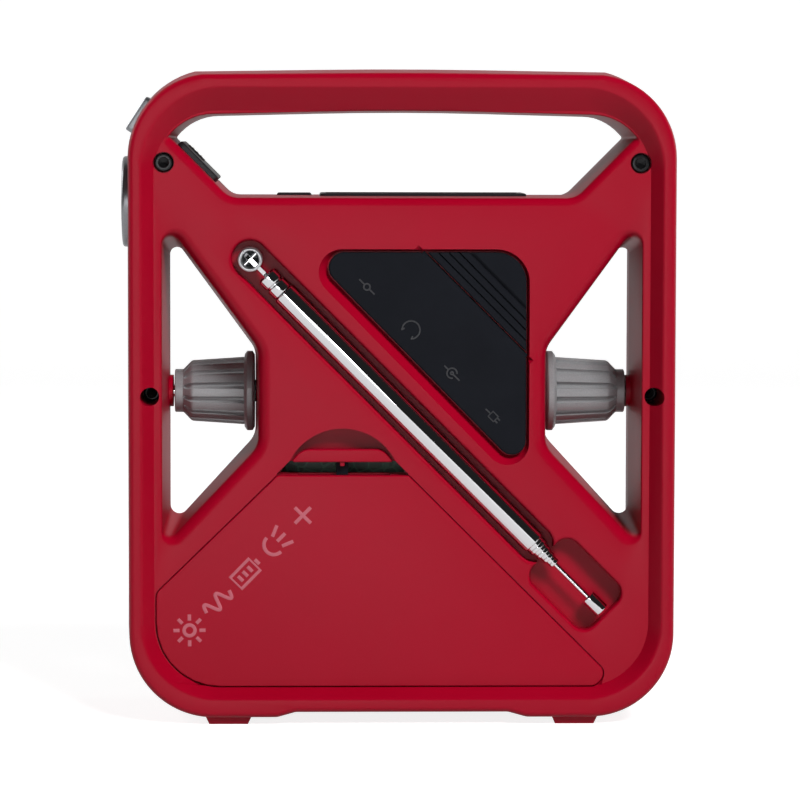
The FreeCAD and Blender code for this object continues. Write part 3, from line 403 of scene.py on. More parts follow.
class Shape:
    """Points and faces gathered in millimetres until they become one piece."""

    def __init__(self):
        self.points = np.zeros((0, 3))
        self.faces = []

    def add(self, points, faces):
        start = len(self.points)
        self.points = np.vstack([self.points, points.reshape(-1, 3)])
        self.faces += [[corner + start for corner in face] for face in faces]
        return self

    def plate(self, face, corners, rings):
        """Outline carried through rings of (inset, height), with a flat cap at both ends."""
        layers = face.loops(corners, rings)
        count = len(layers[0])
        faces = grid_faces(len(layers), count, wrap_columns=True).tolist()
        ends = [list(range(count)), list(range(count * (len(layers) - 1), count * len(layers)))]
        return self.add(layers, faces + ends)

    def band(self, face, corners, rings):
        """Outline carried through rings and back to the first ring: a frame with a hole."""
        layers = face.loops(corners, rings)
        return self.add(layers, grid_faces(len(layers), len(layers[0]), True, True).tolist())

    def lathe(self, start, direction, corners, segments=72, ripple=None):
        """Section of (along, radius, corner radius) turned round an axis: start + s d +
        r (cos t u + sin t w). The ripple may change the radius with place and angle."""
        section = outline(corners, steps=4)
        direction = np.array(direction, float) / np.linalg.norm(direction)
        helper = np.array([0.0, 1.0, 0.0]) if abs(direction[1]) < 0.9 else np.array([1.0, 0.0, 0.0])
        second = np.cross(direction, helper)
        second /= np.linalg.norm(second)
        third = np.cross(direction, second)
        angle = np.linspace(0, 2 * math.pi, segments, endpoint=False)
        along, radius = np.broadcast_arrays(section[:, :1], section[:, 1:] + 0 * angle)
        if ripple:
            radius = ripple(along, radius, angle[None, :])
        spokes = np.multiply.outer(np.cos(angle), second) + np.multiply.outer(np.sin(angle), third)
        points = np.array(start, float) + along[..., None] * direction + radius[..., None] * spokes
        return self.add(points, grid_faces(len(section), segments, True, True).tolist())

    def bead(self, face, path, width, height, base, closed=False):
        """Raised line of a width along a path: h = height (1 - t^4) across it, t from -1 to 1."""
        path = np.array(path, float)
        if closed:
            heading = np.roll(path, -1, 0) - np.roll(path, 1, 0)
        else:
            heading = np.gradient(path, axis=0)
        heading /= np.linalg.norm(heading, axis=1, keepdims=True)
        normal = np.stack([-heading[:, 1], heading[:, 0]], 1)
        across = np.array([-1, -1, -0.8, -0.4, 0, 0.4, 0.8, 1, 1])
        level = base + height * (1 - across ** 4)
        level[[0, -1]] = base - 0.12
        spread = path[:, None, :] + normal[:, None, :] * (across * width / 2)[None, :, None]
        points = face.at(spread[..., 0], spread[..., 1], np.broadcast_to(level, spread.shape[:2]))
        count = len(across)
        faces = grid_faces(len(path), count, closed, True).tolist()
        if not closed:
            faces += [list(range(count)), list(range(count * (len(path) - 1), count * len(path)))]
        return self.add(points, faces)

    def piece(self, name, material, body, slot, replaces=(), sharp_degrees=38.0):
        mesh = bpy.data.meshes.new(name)
        mesh.from_pydata((self.points * MM).tolist(), [], self.faces)
        work = bmesh.new()
        work.from_mesh(mesh)
        bmesh.ops.remove_doubles(work, verts=work.verts, dist=1e-7)
        bmesh.ops.recalc_face_normals(work, faces=work.faces)
        work.to_mesh(mesh)
        work.free()
        mesh.polygons.foreach_set("use_smooth", np.ones(len(mesh.polygons), bool))
        mesh.set_sharp_from_angle(angle=math.radians(sharp_degrees))
        mesh.materials.append(material)
        made = bpy.data.objects.new(name, mesh)
        bpy.context.scene.collection.objects.link(made)
        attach(made, body)
        if replaces:
            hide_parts(*replaces)
        return made


def bottom_and_top(node, axis):
    """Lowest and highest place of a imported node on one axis, in millimetres."""
    low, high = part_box(node)
    return low[axis] / MM, high[axis] / MM


# %% [markdown]
# ## Faces of the radio
# The back looks along -Y and the front along +Y. Three small faces carry the other fittings: the
# top of the body, the sloping arm under the handle and the flat at the outer corner. Heights are
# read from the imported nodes, so the skins sit where the model has them.

# %% Faces
rear = Face((0, 0, 0), (1, 0, 0), (0, 0, 1))
front = Face((0, 0, 0), (-1, 0, 0), (0, 0, 1))
top = Face((0, 0, 0), (1, 0, 0), (0, 1, 0))
arm = Face((-61.0, 0, 157.2), (1, 0, -1), (0, 1, 0))
corner = Face((-71.6, 0, 163.8), (0.546, 0, 0.838), (0, 1, 0))
knob_z = joints["tuning_turn"]["pos_m"][2] / MM
print("knob height, mm:", round(knob_z, 2))

# %% [markdown]
# ## Battery door
# The door is a flat plate with a fine rounded edge, which is what draws the pale line along its
# seams. A slanted row of plain pictograms is printed on it: sun, wave, battery, lamp and cross.
# Each is a few raised lines a tenth of a millimetre high.

# %% Door and its printed row
door_corners = [(-33.4, 66.9, 1.0), (1.8, 66.9, 1.0), (55.5, 13.4, 2.7), (52.1, 10.0, 2.7),
                (-65.9, 10.0, 17.2), (-65.9, 35.3, 3.0)]
door_face = -bottom_and_top("battery_door", 1)[0]
door_thickness = 2.0
door_back = door_face - door_thickness
door = Shape().plate(rear, door_corners, rounded_edge(door_back, door_face, 0.32))
door.plate(rear, rectangle(-27.4, 61.0, -3.6, 66.4, 0.4), rounded_edge(door_back + 0.1, door_back - 1.0, 0.2))
door.piece("door_plate", door_red, "door", "red_abs", ["battery_door"])


def arc(centre, radius, start_degrees, end_degrees, steps=24):
    angle = np.radians(np.linspace(start_degrees, end_degrees, steps))
    return np.stack([centre[0] + radius * np.cos(angle), centre[1] + radius * np.sin(angle)], 1)


def line(first, last, steps=2):
    share = np.linspace(0, 1, steps)[:, None]
    return np.array(first, float) * (1 - share) + np.array(last, float) * share


def sun(size):
    rays = [line((0.62 * np.cos(a), 0.62 * np.sin(a)), (np.cos(a), np.sin(a)))
            for a in np.arange(8) * math.pi / 4]
    return [path * size for path in rays], [arc((0, 0), 0.34 * size, 0, 345)]


def wave(size):
    along = np.linspace(-1, 1, 40)
    return [np.stack([along, 0.45 * np.sin(along * 2 * math.pi)], 1) * size], []


def battery(size):
    case = np.array([(-0.9, -0.5), (0.75, -0.5), (0.75, 0.5), (-0.9, 0.5)])
    bars = [line((x, -0.22), (x, 0.22)) * size for x in (-0.5, -0.08, 0.34)]
    return bars + [line((0.98, -0.2), (0.98, 0.2)) * size], [case * size]


def lamp(size):
    rays = [line((0.25, y), (0.95, y * 1.7)) * size for y in (-0.42, 0.0, 0.42)]
    return rays + [arc((-0.05, 0), 0.62, 90, 270) * size], []


def cross(size):
    return [line((-0.7, 0), (0.7, 0)) * size, line((0, -0.7), (0, 0.7)) * size], []


def draw(shape, face_at, mark, size, middle, angle_degrees, width, height, base):
    """Turns a mark about its middle by an angle and lays its lines on the face."""
    angle = math.radians(angle_degrees)
    turned = np.array([[math.cos(angle), math.sin(angle)], [-math.sin(angle), math.cos(angle)]])
    open_paths, closed_paths = mark(size)
    for path in open_paths:
        shape.bead(face_at, path @ turned + middle, width, height, base)
    for path in closed_paths:
        shape.bead(face_at, path @ turned + middle, width, height, base, closed=True)


marks = Shape()
row_start = np.array([-57.0, 25.2])
row_step = np.array([7.6, 7.75])
for index, mark in enumerate((sun, wave, battery, lamp, cross)):
    draw(marks, rear, mark, 4.3, row_start + row_step * index, 45.6, 0.95, 0.08, door_face)
marks.piece("door_printed_row", mark_ink, "door", "red_abs")

# %% [markdown]
# ## Door latch
# The latch is a sprung lip in a round scoop. Its upper edge is a flat arc that a finger pulls
# down; a leg carries it behind the door's own tongue. The leg is moulded red with the lip, but here
# it is black rubber as painted shade, so the gap under the lip reads dark.

# %% Latch
latch_face = -bottom_and_top("door_latch", 1)[0]
lip_corners = [(-29.8, 70.4, 0.4), (-26.6, 73.9, 4.5), (-5.2, 73.9, 4.5), (-2.0, 70.4, 0.4)]
lip = Shape().plate(rear, lip_corners, rounded_edge(latch_face - 1.5, latch_face, 0.35))
tooth = rectangle(-16.6, 69.3, -15.4, 71.2, 0.2)
lip.plate(rear, tooth, rounded_edge(latch_face - 1.4, latch_face - 0.5, 0.15))
lip.piece("latch_lip", shell_red, "latch", "red_abs", ["door_latch"])
# Painted shade: the leg is given black rubber instead of the lip's red, so the gap under the lip looks dark.
leg = Shape().plate(rear, rectangle(-17.6, 63, -14.4, 72.9, 0.3), rounded_edge(20.4, 21.7, 0.2))
leg.piece("latch_leg", rubber, "latch", "black_plastic", ["door_latch"])

# %% [markdown]
# ## Port cover
# One moulding of black rubber: a flap that lifts, and an anchor that stays, with four ridges
# where it bends. The ridges run at 45 degrees, so the anchor is a grid whose first parameter is
# c = x + z and whose second goes along the chord that the cover's outline leaves at that c. The
# height over c is a row of half waves.

# %% Flap, ridges and the marks over the sockets
cover_left, cover_right, cover_top, cover_low = -25.4, 33.2, 126.7, 67.06
cover_corners = [(cover_left, cover_top, 4.1), (cover_right, cover_top, 8.0), (cover_right, cover_low, 3.7)]
cover_face = -bottom_and_top("port_cover_flap", 1)[0]
cover_back = -bottom_and_top("port_cover_flap", 1)[1]
bend = joints["flap_lift"]["pos_m"]
bend_total = (bend[0] + bend[2]) / MM
roll_radius = (cover_face - cover_back) / 2
anchor_start = 133.41
bend_margin = 0.4
flap_total = bend_total + bend_margin
flap_corners = [(cover_left, cover_top, 4.1), (flap_total - cover_top, cover_top, 0.35),
                (cover_right, flap_total - cover_right, 0.35), (cover_right, cover_low, 3.7)]
flap = Shape().plate(rear, flap_corners, rounded_edge(cover_back, cover_face, 0.55))
roll_start_z = cover_top - bend_margin
roll_length = 39.4
roll_section = [(0, 0, 0.001), (0, roll_radius, 0.3), (roll_length, roll_radius, 0.3), (roll_length, 0, 0.001)]
flap.lathe((bend_total - roll_start_z, bend[1] / MM, roll_start_z), (1, 0, -1), roll_section, 48)
flap.piece("port_flap", rubber, "flap", "black_rubber", ["port_cover_flap"])


def chord_ends(places):
    """For each c, where the line x + z = c enters and leaves the cover, as x - z. On each side
    of the outline the crossing is at the share (c - c1) / (c2 - c1)."""
    path = outline(cover_corners, steps=16)
    after = np.roll(path, -1, 0)
    c1, c2 = path.sum(1), after.sum(1)
    d1, d2 = path[:, 0] - path[:, 1], after[:, 0] - after[:, 1]
    share = (places[:, None] - c1) / np.where(np.abs(c2 - c1) < 1e-9, 1e-9, c2 - c1)
    crossing = np.where((share >= 0) & (share <= 1), d1 + share * (d2 - d1), np.nan)
    return np.nanmin(crossing, 1), np.nanmax(crossing, 1)


def ridge_height(place):
    """Half waves of 2.8 mm pitch, four of them, then the flat that holds the cover."""
    pitch, ridges, valley = 2.8, 4, 0.75
    phase = (place - anchor_start) / pitch
    wave_height = np.minimum(1.0, 2.2 * np.abs(np.sin(math.pi * phase)) ** 0.8)
    inside = np.where(phase < ridges, wave_height, np.minimum(1.0, 2.2 * (phase - ridges)))
    return cover_face + 0.2 - valley * (1 - inside)


def build_anchor():
    outer = outline(cover_corners, steps=16).sum(1).max()
    places = np.concatenate([np.linspace(anchor_start, anchor_start + 11.8, 150),
                             np.linspace(anchor_start + 12.0, outer - 0.02, 40)])
    low, high = chord_ends(places)
    edge = 0.5
    near = edge * (1 - np.cos(np.linspace(0, math.pi / 2, 6)))
    length = (high - low)[:, None]
    near = np.minimum(near[None, :], 0.49 * length)
    along = np.hstack([near, length - near[:, ::-1]])
    drop = np.minimum(edge, 0.5 * length) * (1 - np.sin(np.linspace(0, math.pi / 2, 6)))[None, :]
    height = ridge_height(places)[:, None] - np.hstack([drop, drop[:, ::-1]])
    floor = np.full((len(places), 1), cover_back)
    along = np.hstack([along[:, :1], along, along[:, -1:]])
    height = np.hstack([floor, height, floor])
    difference = low[:, None] + along
    x = (places[:, None] + difference) / 2
    z = (places[:, None] - difference) / 2
    points = rear.at(x, z, height)
    count = points.shape[1]
    faces = grid_faces(len(places), count, wrap_columns=True).tolist()
    ends = [list(range(count)), list(range(count * (len(places) - 1), count * len(places)))]
    return Shape().add(points, faces + ends)


build_anchor().piece("port_anchor", rubber, "frame", "black_rubber", ["port_cover_anchor"], 50.0)


def socket_ring(size):
    arms = [line((-1.7, 0), (-0.6, 0)) * size, line((0.6, 0), (1.7, 0)) * size]
    return arms, [arc((0, 0), 0.5, 0, 345) * size]


def headphones(size):
    return [arc((0, 0), 1.0, -40, 220, 40) * size, line((0.78, -0.75), (0.62, -0.35)) * size,
            line((-0.78, -0.75), (-0.62, -0.35)) * size], []


def polarity(size):
    return [arc((0, 0), 0.8, 35, 325, 30) * size, line((0.3, 0), (1.7, 0)) * size,
            line((-1.7, 0), (-0.9, 0)) * size], [arc((0, 0), 0.22, 0, 345, 12) * size]


def plug(size):
    body = np.array([(-0.5, -0.55), (0.7, -0.55), (0.7, 0.55), (-0.5, 0.55)]) * size
    return [line((0.7, 0.28), (1.3, 0.28)) * size, line((0.7, -0.28), (1.3, -0.28)) * size,
            line((-1.6, 0), (-0.5, 0)) * size], [body]


flap_marks = Shape()
for mark, size, place in ((socket_ring, 1.7, (-9.5, 117.5)), (headphones, 2.4, (2.3, 106.0)),
                          (polarity, 1.7, (13.3, 94.4)), (plug, 1.7, (24.3, 82.9))):
    draw(flap_marks, rear, mark, size, np.array(place), -45.0, 0.45, 0.14, cover_face)
flap_marks.piece("port_flap_marks", mark_black, "flap", "black_rubber")

# %% [markdown]
# ## Telescopic antenna
# The antenna lies across the back in its groove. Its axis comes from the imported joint, and every
# piece on it is turned round that axis: stepped collars at the knuckle, the wide tube, the ends
# of four narrower sections, a bare rod and the cap.

# %% Antenna
pivot = np.array(joints["antenna_lift"]["pos_m"]) / MM
antenna_axis = np.array(joints["antenna_spin"]["axis"])
if antenna_axis[0] < 0:
    antenna_axis = -antenna_axis
tube_radius, tube_step, tube_start, tube_end = 3.25, 0.43, 12.65, 107.75
cap_start, cap_end, cap_radius = 128.3, 133.7, 2.1
blade_face = Face(pivot, antenna_axis, (0, 1, 0))

cup_section = [(0, 0, 0.001), (0, 3.35, 0.1), (6.2, 3.35, 0.55), (6.2, 2.3, 0.45), (4.4, 2.1, 0.5),
               (2.2, 1.2, 0.8), (1.6, 0, 0.001)]
groove_floor_y = -20.6
Shape().lathe((pivot[0], groove_floor_y, pivot[2]), (0, -1, 0), cup_section).piece(
    "antenna_cup", cup_steel, "frame", "chrome", ["antenna_base"])
knuckle = Shape()
blade_corners = [(-2.3, -2.3, 2.25), (2.3, -2.3, 1.2), (6.6, -1.3, 0.2), (6.6, 1.3, 0.2), (2.3, 2.3, 1.2),
                 (-2.3, 2.3, 2.25)]
knuckle.plate(blade_face, blade_corners, [(0.18, -0.7), (0.0, -0.52), (0.0, 0.52), (0.18, 0.7)])
knuckle.lathe(pivot, antenna_axis, [(5.9, 0, 0.001), (5.9, 2.3, 0.2), (6.4, 2.95, 0.3), (9.1, 2.95, 0.4),
                                    (9.1, 2.45, 0.05), (9.5, 2.45, 0.05), (9.5, 2.95, 0.4), (12.5, 2.95, 0.4),
                                    (12.5, 2.6, 0.05), (16.0, 2.6, 0.1), (16.0, 0, 0.001)])
knuckle.piece("antenna_collars", chrome, "knuckle", "chrome", ["antenna_knuckle"])

Shape().lathe(pivot, antenna_axis, [(tube_start, 2.9, 0.03), (tube_start, tube_radius, 0.25),
                                    (tube_end, tube_radius, 0.35), (tube_end, 2.9, 0.03)], 96).piece(
    "antenna_outer_tube", chrome, "mast", "chrome", ["antenna_tube"])
stage_count, stage_wall, rod_bore = 4, 0.35, 0.66
for index in range(1, stage_count + 1):
    radius = tube_radius - 0.05 - tube_step * index
    inner = radius - stage_wall
    start = tube_start + 4.6 + index
    end = tube_end + 2.0 * index
    bore = inner if index < stage_count else rod_bore
    stage_section = [(start, inner, 0.03), (start, radius, 0.03), (end - 1.15, radius, 0.08),
                     (end - 0.95, radius - 0.16, 0.05), (end - 0.85, radius, 0.08), (end, radius, 0.22),
                     (end, bore, 0.05), (end - 1.6, bore, 0.03), (end - 1.6, inner, 0.03)]
    number = str(index)
    Shape().lathe(pivot, antenna_axis, stage_section).piece(
        "antenna_stage_" + number, chrome, "mast_" + number, "chrome", ["antenna_section_" + number])
bush_radius, rod_radius = 1.1, 0.6
rod_section = [(24.4, 0, 0.001), (24.4, bush_radius, 0.05), (28.4, bush_radius, 0.05),
               (28.4, rod_radius, 0.05), (cap_start, rod_radius, 0.1), (cap_start, cap_radius, 0.25),
               (cap_end, cap_radius, 0.3),
               (cap_end, 1.5, 0.1), (cap_end - 0.2, 0, 0.001)]
Shape().lathe(pivot, antenna_axis, rod_section).piece(
    "antenna_rod_and_cap", chrome, "mast_tip", "chrome", ["antenna_tip"])

# %% [markdown]
# ## Knobs
# Each knob is a turned body with fourteen grooves. The grid's columns follow the grooves: inside
# one, a column's offset from the middle is t times the half width, and its depth is
# depth * sqrt(1 - t^2), a half ellipse. The half width shrinks to nothing on a quarter circle at
# the outer end, which gives each groove its round tip.

# %% Fluted knobs
groove_count = 14
knob_section = [(31.0, 0, 0.001), (31.0, 3.0, 0.1), (39.7, 3.0, 0.1), (39.7, 9.9, 0.1), (40.3, 10.9, 0.4),
                (41.8, 10.9, 0.35), (42.5, 9.9, 0.1), (42.5, 9.25, 0.15), (56.9, 8.3, 1.5), (59.2, 5.9, 0.5),
                (61.5, 5.9, 0.35), (61.5, 1.9, 0.2), (60.4, 1.9, 0.05), (60.4, 0, 0.001)]


def fine_section(corners, spacing=0.28):
    """The section's path, with points added so that no step is longer than the spacing."""
    path = outline(corners, steps=5)
    step = np.linalg.norm(np.diff(path, axis=0), axis=1)
    count = np.where((path[:-1, 0] > 42.4) & (path[:-1, 1] > 5.0), np.ceil(step / spacing), 1).astype(int)
    share = np.concatenate([np.arange(n) / n for n in count])
    start = np.repeat(np.arange(len(step)), count)
    return np.vstack([path[start] + share[:, None] * (path[start + 1] - path[start]), path[-1:]])


def build_knob(side):
    path = fine_section(knob_section)
    along, radius = path[:, :1], path[:, 1:]
    first, last, tip = 42.55, 59.1, 1.6
    share = np.clip((along - first) / (last - first), 0, 1)
    half_width = 1.0 - 0.22 * share
    left = np.clip((last - along) / tip, 0, 1)
    round_end = np.sqrt(1 - (1 - left) ** 2)
    on_body = (along >= first) & (along <= last) & (radius > 5.0)
    depth = np.where(on_body, (1.35 - 0.25 * share) * round_end, 0.0)
    half_width = half_width * np.where(on_body, np.maximum(round_end, 0.03), 1.0)
    inside = np.sin(np.linspace(-math.pi / 2, math.pi / 2, 11))
    sector = 2 * math.pi / groove_count
    half_angle = half_width / np.maximum(radius, 3.0)
    groove_angle = inside * half_angle
    rib_share = np.linspace(0, 1, 6)[1:-1]
    rib_angle = half_angle + rib_share * (sector - 2 * half_angle)
    angle = np.hstack([groove_angle, rib_angle])
    dip = np.hstack([np.sqrt(1 - inside ** 2), np.zeros(len(rib_share))])
    sectors = (np.arange(groove_count) + 0.5) * sector
    full_angle = (angle[:, None, :] + sectors[None, :, None]).reshape(len(path), -1)
    full_radius = np.tile(radius - depth * dip, (1, groove_count))
    points = np.stack([side * np.broadcast_to(along, full_angle.shape), -full_radius * np.cos(full_angle),
                       knob_z + full_radius * np.sin(full_angle)], -1)
    return Shape().add(points, grid_faces(*full_angle.shape, True, True).tolist())


build_knob(-1).piece("tuning_knob_skin", knob_grey, "tuning", "grey_metallic", ["tuning_knob"])
build_knob(1).piece("volume_knob_skin", knob_grey, "volume", "grey_metallic", ["volume_knob"])

# %% [markdown]
# ## Screws
# Four black cap screws hold the halves together. Seen from the back each is a rounded head with a
# six-sided socket: the socket's radius at angle t is flat / cos(t') with t' folded into the
# 30 degrees either side of the nearest flat.

# %% Screws
def socket_ripple(flat):
    def ripple(along, radius, angle):
        folded = np.mod(angle, math.pi / 3) - math.pi / 6
        return np.where((radius > 0.9 * flat) & (radius < 1.05 * flat), flat / np.cos(folded), radius)
    return ripple


shank_radius, socket_flat = 1.1, 1.2
for name, x, z, seat, head, tip in (("top", 63.7, 150.6, -22.6, 2.55, -34.6),
                                    ("rail", 67.5, knob_z, -8.0, 2.3, -20.0)):
    screw_section = [(tip, 0, 0.001), (tip, shank_radius, 0.2), (0, shank_radius, 0.05), (0, head, 0.1),
                     (1.9, head, 0.55), (1.9, 1.5, 0.05), (1.7, socket_flat, 0.01), (0.75, socket_flat, 0.01),
                     (0.45, 0, 0.001)]
    for side_name, side in (("left", -1), ("right", 1)):
        screw = Shape().lathe((side * x, seat, z), (0, -1, 0), screw_section, 72, socket_ripple(socket_flat))
        screw_name = "screw_" + name + "_" + side_name
        screw.piece(screw_name, black_oxide, "frame", "black_steel", ["housing_screws"])

# %% [markdown]
# ## Lamp, side switches and top fittings
# These show only as thin slivers from the back, but they give the silhouette its bumps: the lamp
# ring on the left, the silver key on the corner, the black slide on the arm and the solar strip.

# %% Lamp
lamp_z = sum(bottom_and_top("lamp_bezel", 2)) / 2
to_left = (-1, 0, 0)
ring_section = [(70.2, 10.6, 0.05), (70.2, 12.35, 0.1), (75.6, 12.35, 0.8), (75.6, 11.0, 0.35),
                (74.4, 10.0, 0.2), (73.6, 10.0, 0.05), (73.6, 10.6, 0.05)]
lens_section = [(71.6, 0, 0.001), (71.6, 10.5, 0.1), (73.5, 10.5, 0.1), (73.5, 9.9, 0.1), (74.3, 8.0, 0.3),
                (74.1, 7.8, 0.1), (74.5, 5.4, 0.3), (74.3, 5.2, 0.1), (74.7, 2.4, 0.3), (74.7, 0, 0.001)]
Shape().lathe((0, 0, lamp_z), to_left, ring_section, 128).piece(
    "lamp_ring", trim_silver, "frame", "silver", ["lamp_bezel"])
Shape().lathe((0, 0, lamp_z), to_left, lens_section, 96).piece(
    "lamp_lens_skin", clear, "frame", "clear_plastic", ["lamp_lens"])

# %% Corner key, light key and slide
Shape().plate(corner, rectangle(-5.3, -8.0, 5.3, 8.0, 1.2), rounded_edge(-5.2, 0.2, 0.5)).piece(
    "corner_key_cap", trim_silver, "corner_key", "silver", ["corner_button"])
top_z = bottom_and_top("light_button", 2)[1]
Shape().plate(top, rectangle(-33.7, -5.0, -24.2, 5.0, 1.2), rounded_edge(136.0, top_z, 0.6)).piece(
    "light_key_cap", black_plastic, "light_key", "black_plastic", ["light_button"])
Shape().plate(arm, rectangle(2.0, -19.0, 16.0, 17.0, 1.4), rounded_edge(-1.5, 0.8, 0.4)).piece(
    "arm_plate_cover", black_plastic, "frame", "black_plastic", ["arm_plate"])
slide_top = 1.15
slide = Shape().plate(arm, rectangle(3.8, -5.0, 9.8, 5.0, 0.8), rounded_edge(0.9, slide_top, 0.15))
for index in range(3):
    ridge = 5.3 + 1.5 * index
    slide.bead(arm, line((ridge, -3.8), (ridge, 3.8), 8), 0.8, 0.12, slide_top)
slide.piece("slide_cap", black_plastic, "slider", "black_plastic", ["arm_slider"])

# %% Solar strip
rim_rings = [(0.0, top_z - 2.8), (0.0, top_z - 0.5), (0.15, top_z - 0.15), (0.5, top_z),
             (1.6, top_z), (2.0, top_z - 0.4), (2.0, top_z - 2.8)]
Shape().band(top, rectangle(-22.0, -11.0, 34.0, 11.0, 1.6), rim_rings).piece(
    "solar_rim", black_plastic, "frame", "black_plastic", ["solar_frame"])

# %% [markdown]
# ## The front
# The front isn't on show, so it stays plain: a display behind a clear window, three keys, a
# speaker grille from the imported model, and the crank that folds flat in the middle.

# %% Display, keys and crank
window_low, window_high = (np.array(corner_mm) / MM for corner_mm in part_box("display_window"))
half_x, middle_z = (window_high[0] - window_low[0]) / 2, (window_high[2] + window_low[2]) / 2
half_z = (window_high[2] - window_low[2]) / 2
display_face_at = Face((0, 0, middle_z), (-1, 0, 0), (0, 0, 1))
window_corners = rectangle(-half_x, -half_z, half_x, half_z, 2.5)
Shape().plate(display_face_at, window_corners, rounded_edge(window_low[1], window_high[1], 0.25)).piece(
    "display_window_skin", clear, "frame", "clear_plastic", ["display_window"])
scale_marks = Shape()
mark_base, mark_height, scale_end = 17.65, 0.05, 26.0
for index in range(27):
    tall = 3.0 if index % 5 == 1 else 1.6
    x = -scale_end + 2.0 * index
    scale_marks.bead(display_face_at, line((x, -5.0), (x, -5.0 + tall)), 0.35, mark_height, mark_base)
scale_marks.bead(display_face_at, line((-scale_end, -5.6), (scale_end, -5.6)), 0.4, mark_height, mark_base)
for bar in range(4):
    x = 20.0 + 1.6 * bar
    scale_marks.bead(display_face_at, line((x, 3.0), (x, 4.0 + bar)), 0.9, mark_height, mark_base)
scale_marks.piece("display_scale", black_plastic, "frame", "black_plastic")

for index in range(1, 4):
    key_low, key_high = (np.array(corner_mm) / MM for corner_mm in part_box("front_button_" + str(index)))
    key_middle = (key_low + key_high) / 2
    key_face = Face((key_middle[0], 0, key_middle[2]), (-1, 0, 0), (0, 0, 1))
    wide, high = (key_high[0] - key_low[0]) / 2, (key_high[2] - key_low[2]) / 2
    key_corners = rectangle(-wide, -high, wide, high, 1.6)
    Shape().plate(key_face, key_corners, rounded_edge(key_low[1], key_high[1], 0.5)).piece(
        "front_key_cap_" + str(index), trim_silver, "front_key_" + str(index), "silver",
        ["front_button_" + str(index)])

crank_front = Face((0, 0, knob_z), (-1, 0, 0), (0, 0, 1))
hub_section = [(8.6, 0, 0.001), (8.6, 3.0, 0.3), (20.5, 3.0, 0.1), (20.5, 10.0, 0.3),
               (27.3, 10.0, 1.3), (27.3, 6.5, 0.1), (26.9, 6.2, 0.1), (26.9, 0, 0.001)]
fork = Shape().lathe((0, 0, knob_z), (0, 1, 0), hub_section, 96)
for side in (-1, 1):
    low, high = sorted((side * 4.7, side * 8.0))
    prong = [(-4.0, low, 0.4), (-4.0, high, 0.4), (-38.6, high, 1.6), (-38.6, low, 1.6)]
    fork.plate(crank_front, prong, [(0.3, 21.6), (0.0, 21.9), *rounded_edge(22.0, 27.0, 0.6)])
fork.plate(crank_front, rectangle(-4, -8.0, -12, 8.0, 0.4), rounded_edge(21.6, 26.9, 0.5))
fork.piece("crank_fork", shell_red, "crank", slot_of_node["crank_arm"], ["crank_arm"])

grip_radius, ring_floor = 4.0, 3.65
grip_section = [(13.6, 1.5, 0.05), (13.6, 3.2, 0.5), (14.4, grip_radius, 0.4)]
for index in range(6):
    start = 16.6 + 2.0 * index
    grip_section += [(start, grip_radius, 0.15), (start + 0.3, ring_floor, 0.1)]
    grip_section += [(start + 0.9, ring_floor, 0.1), (start + 1.2, grip_radius, 0.15)]
grip_section += [(30.6, grip_radius, 0.6), (31.6, 3.0, 0.4), (31.6, 1.5, 0.05)]
Shape().lathe((0, 24.8, knob_z), (1, 0, 0), grip_section, 72).piece(
    "crank_grip_skin", black_plastic, "grip", slot_of_node["crank_grip"], ["crank_grip"])

# %% [markdown]
# ## The stage: floor, light and camera
# The floor is one pale sheet that curves up behind the radio, so no horizon shows. The key light
# is a soft box high on the right, so the slopes that face it are bright and the underside of the
# handle falls to dark. It isn't mirrored, so it leaves no hard spot on the chrome. A weaker box
# beside the camera gives the flat panel its haze and the chrome its white streak. The room itself
# is nearly black, as a studio is. The floor glows a little, but only for the camera and in
# mirrored rays, so it looks evenly white and lights the lower side of the antenna.

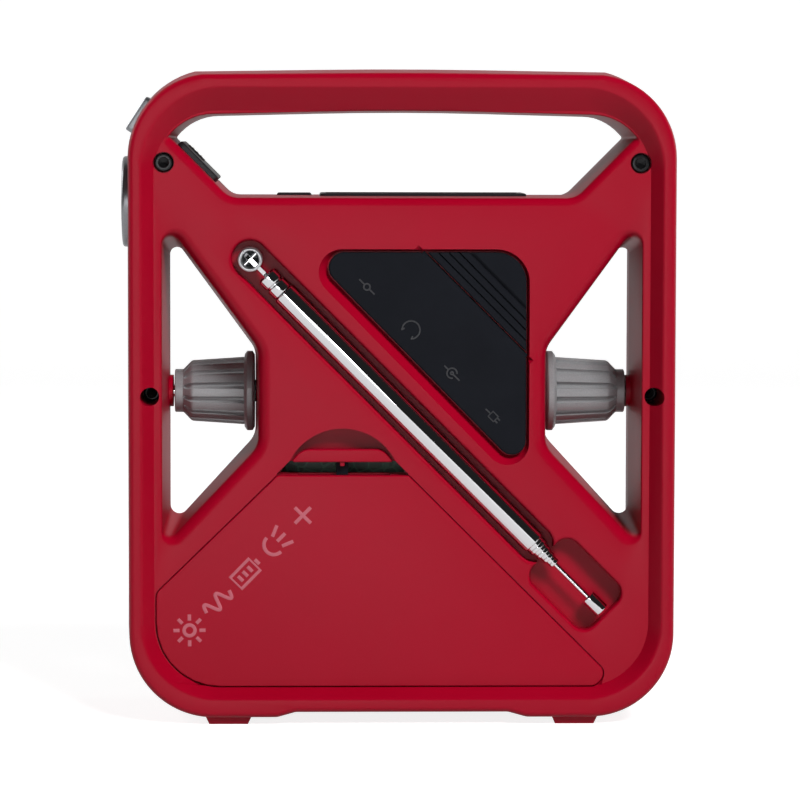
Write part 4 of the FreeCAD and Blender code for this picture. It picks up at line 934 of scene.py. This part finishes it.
# %% Floor
def sweep_floor():
    """Profile carried along X: flat, then a quarter circle, then a wall. Its height is zero up to
    the bend, radius minus the circle's height in the bend, and rises straight after it."""
    half_width, bend, front_edge, back_edge = 6.0, 0.8, -4.0, 1.4
    angle = np.linspace(0, math.pi / 2, 24)
    y = np.concatenate([[front_edge], back_edge + bend * np.sin(angle), [back_edge + bend]])
    z = np.concatenate([[0.0], bend * (1 - np.cos(angle)), [6.0]])
    x = np.array([-half_width, half_width])
    grid = np.stack([np.tile(x[:, None], (1, len(y))), np.tile(y, (2, 1)), np.tile(z, (2, 1))], -1)
    index = np.arange(2 * len(y)).reshape(2, len(y))
    faces = np.stack([index[0, :-1], index[1, :-1], index[1, 1:], index[0, 1:]], -1)
    mesh = bpy.data.meshes.new("floor")
    mesh.from_pydata(grid.reshape(-1, 3).tolist(), [], faces.tolist())
    mesh.polygons.foreach_set("use_smooth", np.ones(len(faces), bool))
    floor = bpy.data.objects.new("floor", mesh)
    bpy.context.scene.collection.objects.link(floor)
    pale = Shader("pale_floor", Base_Color=(0.50, 0.50, 0.50, 1.0), Specular_IOR_Level=0.0,
                  Emission_Color=(1.0, 1.0, 1.0, 1.0))
    seen = pale.node("ShaderNodeLightPath", {}, {}, "Is Camera Ray")
    mirrored = pale.node("ShaderNodeLightPath", {}, {}, "Is Glossy Ray")
    pale.feed(Roughness=0.8 + pale.noise(30.0) * 0.1, Emission_Strength=seen * 0.84 + mirrored * 0.34)
    mesh.materials.append(pale.material)
    floor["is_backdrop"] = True


sweep_floor()


# %% Light and camera
def soft_box(name, place, aim, width, height, watts):
    light = bpy.data.lights.new(name, "AREA")
    light.shape = "RECTANGLE"
    light.size = width
    light.size_y = height
    light.energy = watts
    lamp_object = bpy.data.objects.new(name, light)
    lamp_object.location = place
    lamp_object.rotation_euler = (Vector(aim) - Vector(place)).to_track_quat("-Z", "Y").to_euler()
    bpy.context.scene.collection.objects.link(lamp_object)
    return lamp_object


soft_box("key_box", (0.68, -1.35, 1.32), (0, 0, 0.09), 0.6, 0.6, 39).visible_glossy = False
soft_box("camera_box", (-0.20, -1.75, 0.05), (0, 0, 0.09), 0.50, 0.50, 4.6)
soft_box("left_edge_box", (-1.20, 0.35, 0.70), (0, 0, 0.09), 0.5, 0.9, 7)
soft_box("right_edge_box", (1.20, 0.45, 0.30), (0, 0, 0.09), 0.4, 0.9, 4)

world = bpy.data.worlds.new("room")
world.use_nodes = True
world.node_tree.nodes["Background"].inputs["Color"].default_value = (1.0, 1.0, 1.0, 1.0)
world.node_tree.nodes["Background"].inputs["Strength"].default_value = 0.015
bpy.context.scene.world = world
bpy.context.scene.view_settings.view_transform = "Standard"

camera_data = bpy.data.cameras.new("camera")
camera_data.lens = 169.2
camera_data.sensor_width = 36.0
camera = bpy.data.objects.new("camera", camera_data)
camera_place = Vector((-0.028, -1.029, 0.157))
camera_aim = Vector((-0.0007, -0.029, 0.0875))
camera.location = camera_place
turn = (camera_aim - camera_place).to_track_quat("-Z", "Y")
roll = math.radians(0.12)
camera.rotation_euler = turn.to_euler()
camera.rotation_euler.rotate_axis("Z", roll)
bpy.context.scene.collection.objects.link(camera)
bpy.context.scene.camera = camera

# %% Sizes, then the end
low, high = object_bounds()
